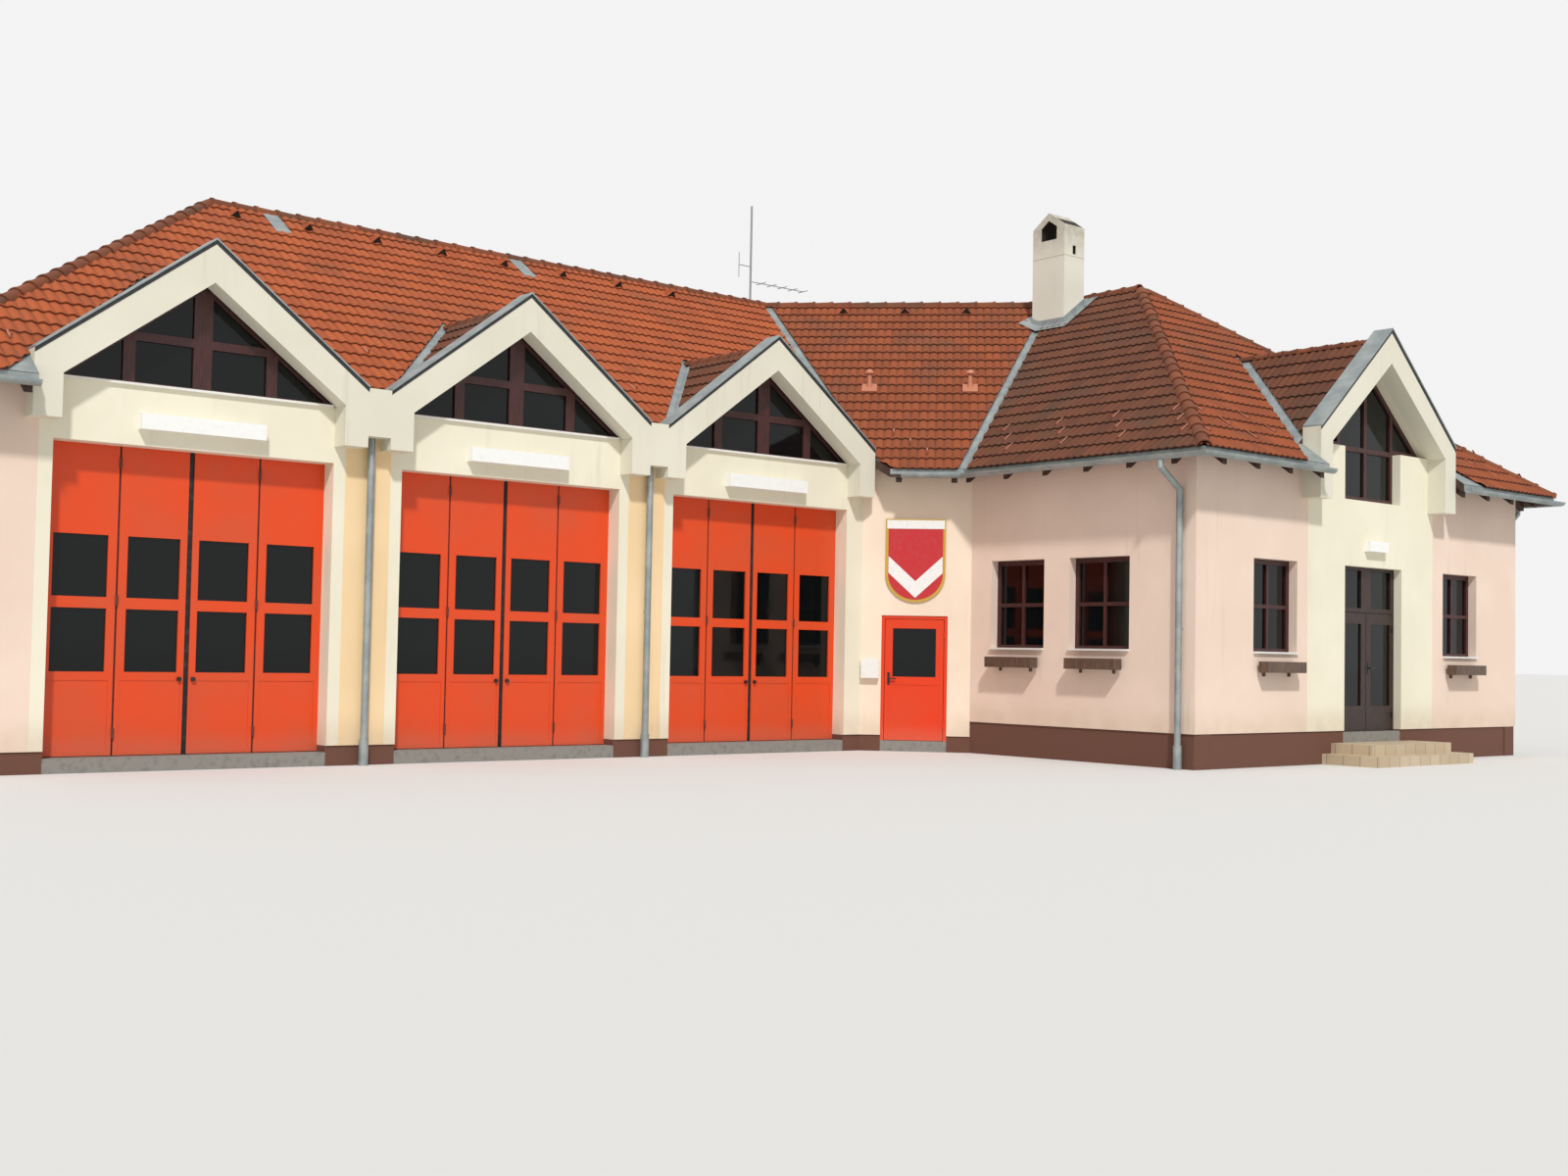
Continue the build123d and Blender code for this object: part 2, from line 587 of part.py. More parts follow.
def gable_frames():
    """The rendered frames, the panels between them and the sheet metal on top."""
    for number, gable in enumerate(GATE_GABLES, 1):
        add("gable_frame_%d" % number, FRONT_OF_HALL, gable.frame())
        add("gable_cappings", FRONT_OF_HALL, gable.capping())
    for left, right in zip(GATE_GABLES, GATE_GABLES[1:]):
        x0, x1 = left.centre + left.reach, right.centre - right.reach
        add("valley_panels", FRONT_OF_HALL, block(x0, x1, -FRAME_DEPTH, 0, PANEL_BOTTOM, FRAME_SHOULDER))
    add("entrance_gable_frame", FRONT_OF_WING, DORMER.frame())
    add("gable_cappings", FRONT_OF_WING, DORMER.capping())


def gable_panes(gable):
    """The outlines of a glazed gable's six panes, around its centre."""
    low = GABLE_SILL + GABLE_BAR / 2
    apex = gable.inner - GABLE_BAR / 2
    rise = gable.inner_rise
    post = GABLE_POST / 2
    side_in = GABLE_SIDE_POST_AT - GABLE_SIDE_POST / 2
    side_out = GABLE_SIDE_POST_AT + GABLE_SIDE_POST / 2
    below, above = GABLE_TRANSOM_AT - GABLE_TRANSOM / 2, GABLE_TRANSOM_AT + GABLE_TRANSOM / 2
    rectangle = [(post, low), (side_in, low), (side_in, below), (post, below)]
    upper = [(post, above), ((apex - above) / rise, above), (post, apex - rise * post)]
    outer = [(side_out, low), ((apex - low) / rise, low), (side_out, apex - rise * side_out)]
    return [[(side * x, z) for x, z in pane] for side in (-1, 1) for pane in (rectangle, upper, outer)]


def gable_windows():
    """The glazed triangles over the gates, up to the little roofs."""
    y0, y1 = GABLE_SETBACK, GABLE_SETBACK + WINDOW_DEPTH
    middle = y0 + WINDOW_DEPTH / 2
    for gable in GATE_GABLES:
        c, half = gable.centre, gable.half
        top = gable.ridge - ROOF_THICK
        edge = top - gable.rise * half
        body = upright([(c - half, GABLE_SILL), (c + half, GABLE_SILL), (c + half, edge), (c, top),
                        (c - half, edge)], y0, y1)
        for pane in gable_panes(gable):
            outline = [(c + x, z) for x, z in pane]
            body -= upright(outline, y0, y1)
            add("gable_window_glass", FRONT_OF_HALL, upright(outline, middle, middle + GLASS))
        add("gable_windows", FRONT_OF_HALL, body)
        reach = half - SILL_THICK / gable.inner_rise
        add("window_sills", FRONT_OF_HALL,
            block(c - reach, c + reach, -SILL_NOSE, y0, GABLE_SILL, GABLE_SILL + SILL_THICK))


def dormer_window():
    """The T-shaped window of the entrance gable, with its posts and its crossbar."""
    y0, y1 = WINDOW_SETBACK, WINDOW_SETBACK + WINDOW_DEPTH
    middle = y0 + WINDOW_DEPTH / 2
    c, half = DORMER.centre, DORMER_BAR / 2
    inner = upright(dormer_outline(DORMER_BAR), y0, y1)
    bars = block(c - DORMER.half, c + DORMER.half, y0, middle, DORMER_SHELF - half, DORMER_SHELF + half)
    for x in (c - DORMER_WINDOW_HALF + half, c, c + DORMER_WINDOW_HALF - half):
        bars += block(x - half, x + half, y0, middle, DORMER_SILL, DORMER.inner)
    body = upright(dormer_outline(0), y0, y1) - inner
    add("window_frames", FRONT_OF_WING, body + (bars & inner))
    add("window_glass", FRONT_OF_WING, upright(dormer_outline(DORMER_BAR), middle, middle + GLASS))


def hall_upper_edge(x0, x1):
    """The upper edge of the hall's front slope from x1 back to x0: the ridge, or the left hip."""
    edge = []
    for x in (x1, x0):
        on_hip = meet(HIP_FRONT, (1, 0, x))[1]
        edge.append((x, min(RIDGE_Y, on_hip)))
    if x0 < HALL_APEX[0] < x1:
        edge.insert(1, HALL_APEX)
    return edge


def hall_roof_front():
    """The hall's front slope in one slab for each stretch between two gable ridges."""
    half_joint = JOINT / 2
    first, last = GATE_GABLES[0], GATE_GABLES[-1]
    start = [meet(EAVES_LEFT, HIP_FRONT), (FIRST_FRAME_EDGE, -HALL_EAVES), (FIRST_FRAME_EDGE, 0),
             (first.centre - first.foot, 0), (first.centre - half_joint, first.meet)]
    upper = hall_upper_edge(HALL_LEFT, first.centre - half_joint)[:-1]
    add("hall_roof_front", FRONT_OF_HALL, slab(HALL_FRONT, start + upper))
    for a, b in zip(GATE_GABLES, GATE_GABLES[1:]):
        x0, x1 = a.centre + half_joint, b.centre - half_joint
        lower = [(x0, a.meet), (a.centre + a.foot, 0), (b.centre - b.foot, 0), (x1, b.meet)]
        add("hall_roof_front", FRONT_OF_HALL, slab(HALL_FRONT, lower + hall_upper_edge(x0, x1)))
    x0 = last.centre + half_joint
    end = [(x0, last.meet), (last.centre + last.foot, 0), BEND, RIDGE_BEND, (x0, RIDGE_Y)]
    add("hall_roof_front", FRONT_OF_HALL, slab(HALL_FRONT, end))


def roofs():
    """The main slopes, each a slab, and the little roofs behind the gables."""
    hall_roof_front()
    add("hall_roof_back", FRONT_OF_HALL,
        slab(HALL_BACK, [meet(EAVES_HALL_BACK, HIP_BACK), meet(EAVES_HALL_BACK, HIP_BACK_BEND),
                         RIDGE_BEND, HALL_APEX]))
    add("hall_roof_end", FRONT_OF_HALL,
        slab(HALL_SIDE, [meet(EAVES_LEFT, HIP_FRONT), HALL_APEX, meet(EAVES_LEFT, HIP_BACK)]))
    add("link_roof_front", FRONT_OF_HALL,
        slab(LINK_FRONT_SLOPE, [BEND, (LAST_FRAME_EDGE, 0), meet(EAVES_LINK, (1, 0, LAST_FRAME_EDGE)),
                                meet(EAVES_LINK, VALLEY), RIDGE_CORNER, RIDGE_BEND]))
    add("link_roof_back", FRONT_OF_HALL,
        slab(LINK_BACK_SLOPE, [meet(EAVES_LINK_BACK, HIP_BACK_BEND),
                               meet(EAVES_LINK_BACK, HIP_BACK_CORNER), RIDGE_CORNER, RIDGE_BEND]))
    add("wing_roof_left", FRONT_OF_HALL,
        slab(WING_LEFT_SLOPE, [meet(EAVES_WING_SIDE, VALLEY), RIDGE_CORNER, WING_APEX,
                               meet(EAVES_WING_SIDE, HIP_WING_LEFT)]))
    add("wing_roof_right", FRONT_OF_HALL,
        slab(WING_RIGHT_SLOPE, [meet(EAVES_WING_RIGHT, HIP_WING_RIGHT),
                                meet(EAVES_WING_RIGHT, HIP_BACK_CORNER), RIDGE_CORNER, WING_APEX]))
    centre, front = WING_LEFT[0] + DORMER.centre, WING_LEFT[1]
    for side, hip in ((-1, HIP_WING_LEFT), (1, HIP_WING_RIGHT)):
        edge, joint = centre + side * DORMER.reach, centre + side * JOINT / 2
        outline = [meet(EAVES_WING_FRONT, hip), (edge, front - WING_FRONT_EAVES), (edge, front),
                   (centre + side * DORMER.foot, front), (joint, front + DORMER.meet),
                   meet(hip, (1, 0, joint))]
        add("wing_roof_front", FRONT_OF_HALL, slab(WING_FRONT_SLOPE, outline))
    for gable in GATE_GABLES:
        add("gable_roofs", FRONT_OF_HALL, *gable.roof())
    add("gable_roofs", FRONT_OF_WING, *DORMER.roof())


def rafter_tails(frame, run, x0, x1):
    """Rafter ends under an eaves, from the wall out to near the gutter."""
    reach = overhang(run) - RAFTER_SETBACK
    drop = reach * (ROOF_RIDGE - ROOF_AT_WALL) / run
    profile = [(0, WALL_TOP), (-reach, WALL_TOP - drop), (-reach, WALL_TOP - drop - RAFTER_DEPTH),
               (0, WALL_TOP - RAFTER_DEPTH)]
    count = max(1, round((x1 - x0) / RAFTER_PITCH))
    for number in range(count + 1):
        x = x0 + (x1 - x0) * number / count
        face = Face(Wire.make_polygon([(x - RAFTER_WIDTH / 2, y, z) for y, z in profile], close=True))
        add("rafter_tails", frame, extrude(face, amount=RAFTER_WIDTH, dir=(1, 0, 0)))


def all_rafter_tails():
    """Rafter ends along every eaves, clear of the inner corners."""
    inset = RAFTER_WIDTH
    rafter_tails(FRONT_OF_HALL, RIDGE_Y, HALL_LEFT + inset, FIRST_FRAME_EDGE - inset)
    rafter_tails(FRONT_OF_LINK, LINK_DEPTH / 2, LINK_EAVES + inset,
                 LINK_FRONT - TURN * LINK_EAVES - inset)
    rafter_tails(SIDE_OF_WING, WING_WIDTH / 2, TURN * WING_SIDE_EAVES + inset, WING_SIDE - inset)
    rafter_tails(FRONT_OF_WING, WING_HIP_RUN, inset, DORMER.centre - DORMER.reach - inset)
    rafter_tails(FRONT_OF_WING, WING_HIP_RUN, DORMER.centre + DORMER.reach + inset, WING_WIDTH - inset)
    rafter_tails(RIGHT_OF_WING, WING_WIDTH / 2, inset, WING_RIGHT_LENGTH - inset)
    rafter_tails(BACK_OF_LINK, LINK_DEPTH / 2, inset, LINK_BACK_LENGTH - inset)
    rafter_tails(BACK_OF_HALL, RIDGE_Y, inset, HALL_BACK_LENGTH - inset)
    rafter_tails(LEFT_OF_HALL, RIDGE_Y, inset, HALL_DEPTH - inset)


def half_ring(plane, radius, skin, up):
    """Half of a round section on a plane, the half that lies on the side of this vector."""
    ring = Circle(radius) - Circle(radius - skin)
    halves = [plane * (ring & Location((0, side * radius)) * Rectangle(4 * radius, 2 * radius))
              for side in (-1, 1)]
    return max(halves, key=lambda half: (half.center() - plane.origin).dot(up))


def gutter(points):
    """A half-round gutter along plan points just outside the eaves."""
    path = Wire.make_polygon([(x, y, GUTTER_TOP) for x, y in points], close=False)
    start = Vector(points[0][0], points[0][1], GUTTER_TOP)
    along = (Vector(points[1][0], points[1][1], GUTTER_TOP) - start).normalized()
    plane = Plane(origin=start, x_dir=along.cross(Vector(0, 0, 1)), z_dir=along)
    profile = half_ring(plane, GUTTER_RADIUS, GUTTER_SKIN, Vector(0, 0, -1))
    return sweep(profile, path=path, transition=Transition.RIGHT)


def gutters():
    """Two runs: round the left end and the back, and along the inner corner."""
    front, left, back, link_back, right, wing, side, link = (
        (line[0], line[1], line[2] + GUTTER_RADIUS)
        for line in (EAVES_HALL_FRONT, EAVES_LEFT, EAVES_HALL_BACK, EAVES_LINK_BACK, EAVES_WING_RIGHT,
                     EAVES_WING_FRONT, EAVES_WING_SIDE, EAVES_LINK))
    centre = WING_LEFT[0] + DORMER.centre
    around = [meet(front, (1, 0, FIRST_FRAME_EDGE)), meet(front, left), meet(left, back),
              meet(back, link_back), meet(link_back, right), meet(right, wing),
              meet(wing, (1, 0, centre + DORMER.reach))]
    inside = [meet(link, (1, 0, LAST_FRAME_EDGE + GUTTER_RADIUS)), meet(link, side), meet(side, wing),
              meet(wing, (1, 0, centre - DORMER.reach))]
    add("gutters", FRONT_OF_HALL, gutter(around), gutter(inside))


def downpipe(frame, x, route):
    """A round pipe down this route of depths and heights, on two clamps and in a wider foot."""
    y, half = -PIPE_STAND - PIPE_RADIUS, PIPE_CLAMP / 2
    points = [(x, *place) for place in route] + [(x, y, 0)]
    top = Plane(origin=points[0], z_dir=(0, 0, -1)) * Circle(PIPE_RADIUS)
    path = Wire.make_polygon(points, close=False)
    pipe = sweep(top, path=path, transition=Transition.RIGHT)
    pipe += rod((x, y, 0), (0, 0, 1), PIPE_FOOT_HEIGHT, PIPE_FOOT_RADIUS)
    straight_top = route[-1][1]
    for z in (straight_top - PIPE_CLAMP_DROP, straight_top / 2):
        pipe += block(x - half, x + half, y, 0, z - half, z + half)
    add("downpipes", frame, pipe)


def downpipes():
    """One under each valley between two gables, and one with a swan neck on each wing side."""
    y = -PIPE_STAND - PIPE_RADIUS
    for left, right in zip(GATE_CENTRES, GATE_CENTRES[1:]):
        downpipe(FRONT_OF_HALL, (left + right) / 2, [(y, PANEL_BOTTOM)])
    gutter_y, gutter_bottom = -WING_SIDE_EAVES - GUTTER_RADIUS, GUTTER_TOP - GUTTER_RADIUS
    neck = [(gutter_y, gutter_bottom), (gutter_y, gutter_bottom - NECK_STRAIGHT), (y, NECK_BOTTOM)]
    downpipe(SIDE_OF_WING, WING_SIDE - SIDE_PIPE_INSET, neck)
    downpipe(RIGHT_OF_WING, SIDE_PIPE_INSET, neck)


def ridge_run(start, end, plane_a, plane_b, trim):
    """Half-round tiles along a ridge or hip, seated on the slopes at both sides."""
    a = Vector(start[0], start[1], height(plane_a, start))
    b = Vector(end[0], end[1], height(plane_a, end))
    along = (b - a).normalized()
    side = along.cross(Vector(0, 0, 1)).normalized()
    up = side.cross(along)
    inner = RIDGE_TILE_RADIUS - RIDGE_TILE_SKIN
    drops = []
    for slope_plane in (plane_a, plane_b):
        down_slope = along.cross(Vector(-slope_plane[0], -slope_plane[1], 1))
        drops.append(abs(down_slope.dot(up) / down_slope.dot(side)))
    seat = up * (min(drops) * inner)
    a, b = a + along * trim[0] - seat, b - along * trim[1] - seat
    profile = half_ring(Plane(origin=a, x_dir=side, z_dir=along), RIDGE_TILE_RADIUS, RIDGE_TILE_SKIN, up)
    return extrude(profile, amount=(b - a).length, dir=tuple(along))


def ridge_tiles():
    """Tiles on every ridge and hip, cut short where several of them meet."""
    both, top = (RIDGE_TILE_TRIM, RIDGE_TILE_TRIM), (0, RIDGE_TILE_TRIM)
    runs = [
        (HALL_APEX, RIDGE_BEND, HALL_FRONT, HALL_BACK, both),
        (RIDGE_BEND, RIDGE_CORNER, LINK_FRONT_SLOPE, LINK_BACK_SLOPE, both),
        (WING_APEX, RIDGE_CORNER, WING_LEFT_SLOPE, WING_RIGHT_SLOPE, both),
        (meet(EAVES_LEFT, HIP_FRONT), HALL_APEX, HALL_FRONT, HALL_SIDE, top),
        (meet(EAVES_LEFT, HIP_BACK), HALL_APEX, HALL_BACK, HALL_SIDE, top),
        (meet(EAVES_WING_SIDE, HIP_WING_LEFT), WING_APEX, WING_FRONT_SLOPE, WING_LEFT_SLOPE, top),
        (meet(EAVES_WING_RIGHT, HIP_WING_RIGHT), WING_APEX, WING_FRONT_SLOPE, WING_RIGHT_SLOPE, top),
        (meet(EAVES_HALL_BACK, HIP_BACK_BEND), RIDGE_BEND, HALL_BACK, LINK_BACK_SLOPE, top),
        (meet(EAVES_WING_RIGHT, HIP_BACK_CORNER), RIDGE_CORNER, LINK_BACK_SLOPE, WING_RIGHT_SLOPE, top),
    ]
    for run in runs:
        add("ridge_tiles", FRONT_OF_HALL, ridge_run(*run))


def folding_gate(centre):
    """Glazed leaves with pressed lower panels, and the rubber seals between them."""
    y0, y1 = GATE_SETBACK, GATE_SETBACK + LEAF_THICK
    middle = (y0 + y1) / 2
    z0, z1 = HALL_FLOOR + GATE_CLEARANCE, GATE_HEAD
    leaf = GATE_WIDTH / LEAVES
    left = centre - HALF_GATE
    joints = [0] + [LEAF_JOINT] * (LEAVES - 1) + [0]
    joints[LEAVES // 2] = SEAL_WIDTH
    for number in range(LEAVES):
        start, end = left + number * leaf, left + (number + 1) * leaf
        body = block(start + joints[number] / 2, end - joints[number + 1] / 2, y0, y1, z0, z1)
        for low, high in PANE_ROWS:
            pane = (start + PANE_MARGIN, end - PANE_MARGIN)
            levels = (HALL_FLOOR + low, HALL_FLOOR + high)
            body -= block(*pane, y0, y1, *levels)
            add("gate_glass", FRONT_OF_HALL, block(*pane, middle, middle + GLASS, *levels))
        body -= block(start + PANEL_MARGIN, end - PANEL_MARGIN, y0, y0 + PANEL_RELIEF,
                      HALL_FLOOR + PANEL_MARGIN, HALL_FLOOR + PANEL_TOP)
        add("gate_leaves", FRONT_OF_HALL, body)
    for number in range(1, LEAVES):
        x, half = left + number * leaf, joints[number] / 2
        add("gate_seals", FRONT_OF_HALL, block(x - half, x + half, y0 + SEAL_SETBACK, y1, z0, z1))


def handle(x, y0, y1, z, side):
    """A lever and its plate on each face of a leaf."""
    width, thick, tall = HANDLE_PLATE
    grip = sorted((x, x + side * HANDLE_LEVER))
    solids = []
    for face, out in ((y0, -1), (y1, 1)):
        plate = sorted((face, face + out * thick))
        body = block(x - width / 2, x + width / 2, *plate, z - tall / 2, z + tall / 2)
        body += rod((x, face, z), (0, out, 0), HANDLE_STAND, HANDLE_RADIUS)
        grip_y = face + out * HANDLE_STAND
        body += block(*grip, grip_y - HANDLE_RADIUS, grip_y + HANDLE_RADIUS,
                      z - HANDLE_RADIUS, z + HANDLE_RADIUS)
        solids.append(body)
    return solids


def knuckle(axis, side, y0, low, high):
    """Half a hinge: a length of barrel on the axis, and the flap that holds it at one side."""
    length, thick = HINGE_FLAP
    flap = sorted((axis[0], axis[0] + side * length))
    return (rod((*axis, low), (0, 0, 1), high - low, HINGE_RADIUS)
            + block(*flap, y0 - thick, y0, low, high))


def hinged_leaf(edge, free, y0, low, high):
    """A door leaf from its hinged edge to its free one, the hinge halves for its frame, and the
    plan point of the axis. The barrels stand in front of the door, and the leaf's half sits on
    the frame's."""
    toward_leaf = 1 if free > edge else -1
    leaf = block(*sorted((edge, free)), y0, y0 + DOOR_LEAF, low, high)
    axis = (edge - toward_leaf * DOOR_GAP / 2, y0 - HINGE_RADIUS - HINGE_STAND)
    seats = []
    for z in (low + HINGE_INSET, high - HINGE_INSET - HINGE_LENGTH):
        middle = z + HINGE_LENGTH / 2
        leaf += knuckle(axis, toward_leaf, y0, middle + HINGE_PLAY, z + HINGE_LENGTH)
        seats.append(knuckle(axis, -toward_leaf, y0, z, middle))
    return leaf, seats, axis


def show_axis(name, frame, axis):
    """Prints a hinge axis in metres, in the building's frame."""
    point = (TO_ORIGIN * frame * Location((axis[0], axis[1], 0))).position
    print(name, round(point.X / 1000, 5), round(point.Y / 1000, 5))


def side_door():
    """The side door: a framed leaf that opens outwards on hinges at its right."""
    frame = FRONT_OF_LINK
    x0, x1 = SIDE_DOOR_AT, SIDE_DOOR_AT + SIDE_DOOR_WIDTH
    y0, head = SIDE_DOOR_SETBACK, HALL_FLOOR + SIDE_DOOR_HEIGHT
    y1 = y0 + DOOR_FRAME_DEPTH
    body = block(x0, x1, y0, y1, HALL_FLOOR, head)
    body -= block(x0 + DOOR_FRAME, x1 - DOOR_FRAME, y0, y1, HALL_FLOOR, head - DOOR_FRAME)
    left, right = x0 + DOOR_FRAME + DOOR_GAP, x1 - DOOR_FRAME - DOOR_GAP
    leaf, seats, axis = hinged_leaf(right, left, y0, HALL_FLOOR + DOOR_GAP,
                                    head - DOOR_FRAME - DOOR_GAP)
    for seat in seats:
        body += seat
    add("side_door_frame", frame, body)
    back = y0 + DOOR_LEAF
    middle = (y0 + back) / 2
    pane = (left + SIDE_PANE_SIDE, right - SIDE_PANE_SIDE)
    levels = (HALL_FLOOR + SIDE_PANE_BOTTOM, HALL_FLOOR + SIDE_PANE_TOP)
    leaf -= block(*pane, y0, back, *levels)
    leaf -= block(left + PANEL_MARGIN, right - PANEL_MARGIN, y0, y0 + PANEL_RELIEF,
                  HALL_FLOOR + PANEL_MARGIN, HALL_FLOOR + PANEL_TOP)
    add("side_door_leaf", frame, leaf)
    add("side_door_glass", frame, block(*pane, middle, middle + GLASS, *levels))
    add("side_door_handle", frame,
        *handle(left + SIDE_PANE_SIDE / 2, y0, back, HALL_FLOOR + HANDLE_HEIGHT, 1))
    show_axis("side_door_hinge", frame, axis)


def entrance():
    """The double entrance door under its fanlights, its leaves opening outwards."""
    frame = FRONT_OF_WING
    x0, x1 = ENTRANCE_AT, ENTRANCE_AT + ENTRANCE_WIDTH
    centre = (x0 + x1) / 2
    y0, y1 = ENTRANCE_SETBACK, ENTRANCE_SETBACK + DOOR_FRAME_DEPTH
    leaf_head = ENTRANCE_LEAF_TOP + DOOR_GAP
    levels = (ENTRANCE_FANLIGHT, WINDOW_HEAD - DOOR_FRAME)
    glass_y = (y0 + y1) / 2
    body = block(x0, x1, y0, y1, WING_FLOOR, WINDOW_HEAD)
    body -= block(x0 + DOOR_FRAME, x1 - DOOR_FRAME, y0, y1, WING_FLOOR, leaf_head)
    for fanlight in ((x0 + ENTRANCE_FANLIGHT_SIDE, centre - ENTRANCE_POST / 2),
                     (centre + ENTRANCE_POST / 2, x1 - ENTRANCE_FANLIGHT_SIDE)):
        body -= block(*fanlight, y0, y1, *levels)
        add("window_glass", frame, block(*fanlight, glass_y, glass_y + GLASS, *levels))
    back = y0 + DOOR_LEAF
    middle = (y0 + back) / 2
    pane_levels = (WING_FLOOR + ENTRANCE_PANE_BOTTOM, ENTRANCE_LEAF_TOP - ENTRANCE_TOP_RAIL)
    for name, side in (("left", -1), ("right", 1)):
        edge = centre + side * (ENTRANCE_WIDTH / 2 - DOOR_FRAME - DOOR_GAP)
        free = centre + side * ENTRANCE_MEETING_GAP / 2
        leaf, seats, axis = hinged_leaf(edge, free, y0, WING_FLOOR + DOOR_GAP, ENTRANCE_LEAF_TOP)
        for seat in seats:
            body += seat
        pane = sorted((edge - side * ENTRANCE_OUTER_STILE, free + side * ENTRANCE_INNER_STILE))
        leaf -= block(*pane, y0, back, *pane_levels)
        add("entrance_leaf_" + name, frame, leaf)
        add("entrance_glass_" + name, frame, block(*pane, middle, middle + GLASS, *pane_levels))
        show_axis("entrance_hinge_" + name, frame, axis)
    add("entrance_frame", frame, body)
    stile = centre + (ENTRANCE_MEETING_GAP + ENTRANCE_INNER_STILE) / 2
    add("entrance_handle", frame, *handle(stile, y0, back, WING_FLOOR + HANDLE_HEIGHT, 1))


def entrance_steps():
    """A landing one riser below the wing's floor, and a lower step around it."""
    riser = WING_FLOOR / RISERS
    centre = ENTRANCE_AT + ENTRANCE_WIDTH / 2
    half = LANDING_WIDTH / 2
    body = block(centre - half, centre + half, -LANDING_DEPTH, PLINTH_RECESS, 0, 2 * riser)
    body += block(centre - half - STEP_TREAD, centre + half + STEP_TREAD, -STEPS_REACH,
                  PLINTH_RECESS, 0, riser)
    add("entrance_steps", FRONT_OF_WING, body)


def lights():
    """A light box over each gate and a lamp over the entrance."""
    lamp_centre = ENTRANCE_AT + ENTRANCE_WIDTH / 2
    places = [(FRONT_OF_HALL, centre, LIGHT_BOX, LIGHT_BOX_BOTTOM) for centre in GATE_CENTRES]
    places.append((FRONT_OF_WING, lamp_centre, LAMP, LAMP_BOTTOM))
    for frame, centre, (width, depth, tall), bottom in places:
        add("light_boxes", frame,
            block(centre - width / 2, centre + width / 2, -depth, 0, bottom, bottom + tall))


def shield_board():
    """A board with a straight head and sides and a rounded foot."""
    left, right = SHIELD_AT, SHIELD_AT + SHIELD_WIDTH
    centre, turn = (left + right) / 2, SHIELD_TOP - SHIELD_STRAIGHT
    sides = Polyline((left, 0, turn), (left, 0, SHIELD_TOP), (right, 0, SHIELD_TOP), (right, 0, turn))
    foot = ThreePointArc((right, 0, turn), (centre, 0, SHIELD_TOP - SHIELD_HEIGHT), (left, 0, turn))
    board = extrude(Face(Wire([*sides.edges(), foot.edge()])), amount=SHIELD_THICK, dir=(0, -1, 0))
    add("shield_board", FRONT_OF_LINK, board)


def mailbox():
    """A letter box with a little gabled lid."""
    width, depth, tall = MAILBOX
    left, right, low, high = MAILBOX_AT, MAILBOX_AT + width, MAILBOX_BOTTOM, MAILBOX_BOTTOM + tall
    outline = [(left, low), (right, low), (right, high), ((left + right) / 2, high + MAILBOX_GABLE),
               (left, high)]
    add("mailbox", FRONT_OF_LINK, upright(outline, -depth, 0))


def chimney():
    """A stack with a gabled head and open ends, astride the valley below the ridge corner."""
    width, depth = CHIMNEY
    x = RIDGE_CORNER[0] + CHIMNEY_FROM_RIDGE_CORNER[0]
    y = RIDGE_CORNER[1] + CHIMNEY_FROM_RIDGE_CORNER[1]
    x0, half = x - width / 2, depth / 2
    peak = CHIMNEY_SHOULDER + CHIMNEY_PEAK
    rise = CHIMNEY_PEAK / half

    def across(profile):
        face = Face(Wire.make_polygon([(x0, y + v, z) for v, z in profile], close=True))
        return extrude(face, amount=width, dir=(1, 0, 0))

    body = across([(-half, ROOF_AT_WALL), (half, ROOF_AT_WALL), (half, CHIMNEY_SHOULDER), (0, peak),
                   (-half, CHIMNEY_SHOULDER)])
    mouth = CHIMNEY_MOUTH / 2
    mouth_shoulder = CHIMNEY_MOUTH_APEX - rise * mouth
    body -= across([(-mouth, CHIMNEY_MOUTH_SILL), (mouth, CHIMNEY_MOUTH_SILL), (mouth, mouth_shoulder),
                    (0, CHIMNEY_MOUTH_APEX), (-mouth, mouth_shoulder)])
    slot, slot_depth, slot_tall = CHIMNEY_SLOT
    body -= block(x - slot / 2, x + slot / 2, y - half, y - half + slot_depth,
                  CHIMNEY_SLOT_AT - slot_tall / 2, CHIMNEY_SLOT_AT + slot_tall / 2)
    for plane in (LINK_FRONT_SLOPE, WING_LEFT_SLOPE):
        body -= space_under(plane, x, y, depth)
    add("chimney", FRONT_OF_HALL, body)


def roof_vents():
    """Two vent pipes on the link's front slope, each with a collar at its foot and a domed cap."""
    collar_radius, collar_height = VENT_COLLAR
    for along in VENTS_ALONG:
        x = BEND[0] + along * LINK_ALONG[0] + VENT_INWARD * LINK_IN[0]
        y = BEND[1] + along * LINK_ALONG[1] + VENT_INWARD * LINK_IN[1]
        roof = height(LINK_FRONT_SLOPE, (x, y))
        foot, rim = roof - collar_radius, roof + VENT_HEIGHT - VENT_CAP_RADIUS
        pipe = rod((x, y, foot), (0, 0, 1), rim - foot, VENT_RADIUS)
        pipe += rod((x, y, foot), (0, 0, 1), collar_height, collar_radius)
        pipe += Location((x, y, rim)) * Sphere(VENT_CAP_RADIUS, arc_size1=0)
        add("roof_vents", FRONT_OF_HALL,
            pipe - space_under(LINK_FRONT_SLOPE, x, y, 2 * collar_radius))


def roof_hatches():
    """Two narrow metal hatches high on the hall's front slope."""
    width, length = HATCH
    a, b, c = HALL_FRONT
    high = RIDGE_Y - HATCH_BELOW_RIDGE
    for x in HATCHES_AT:
        left, right = x - width / 2, x + width / 2
        outline = [(left, high - length), (right, high - length), (right, high), (left, high)]
        add("roof_hatches", FRONT_OF_HALL, slab((a, b, c + HATCH_RISE), outline, HATCH_RISE))


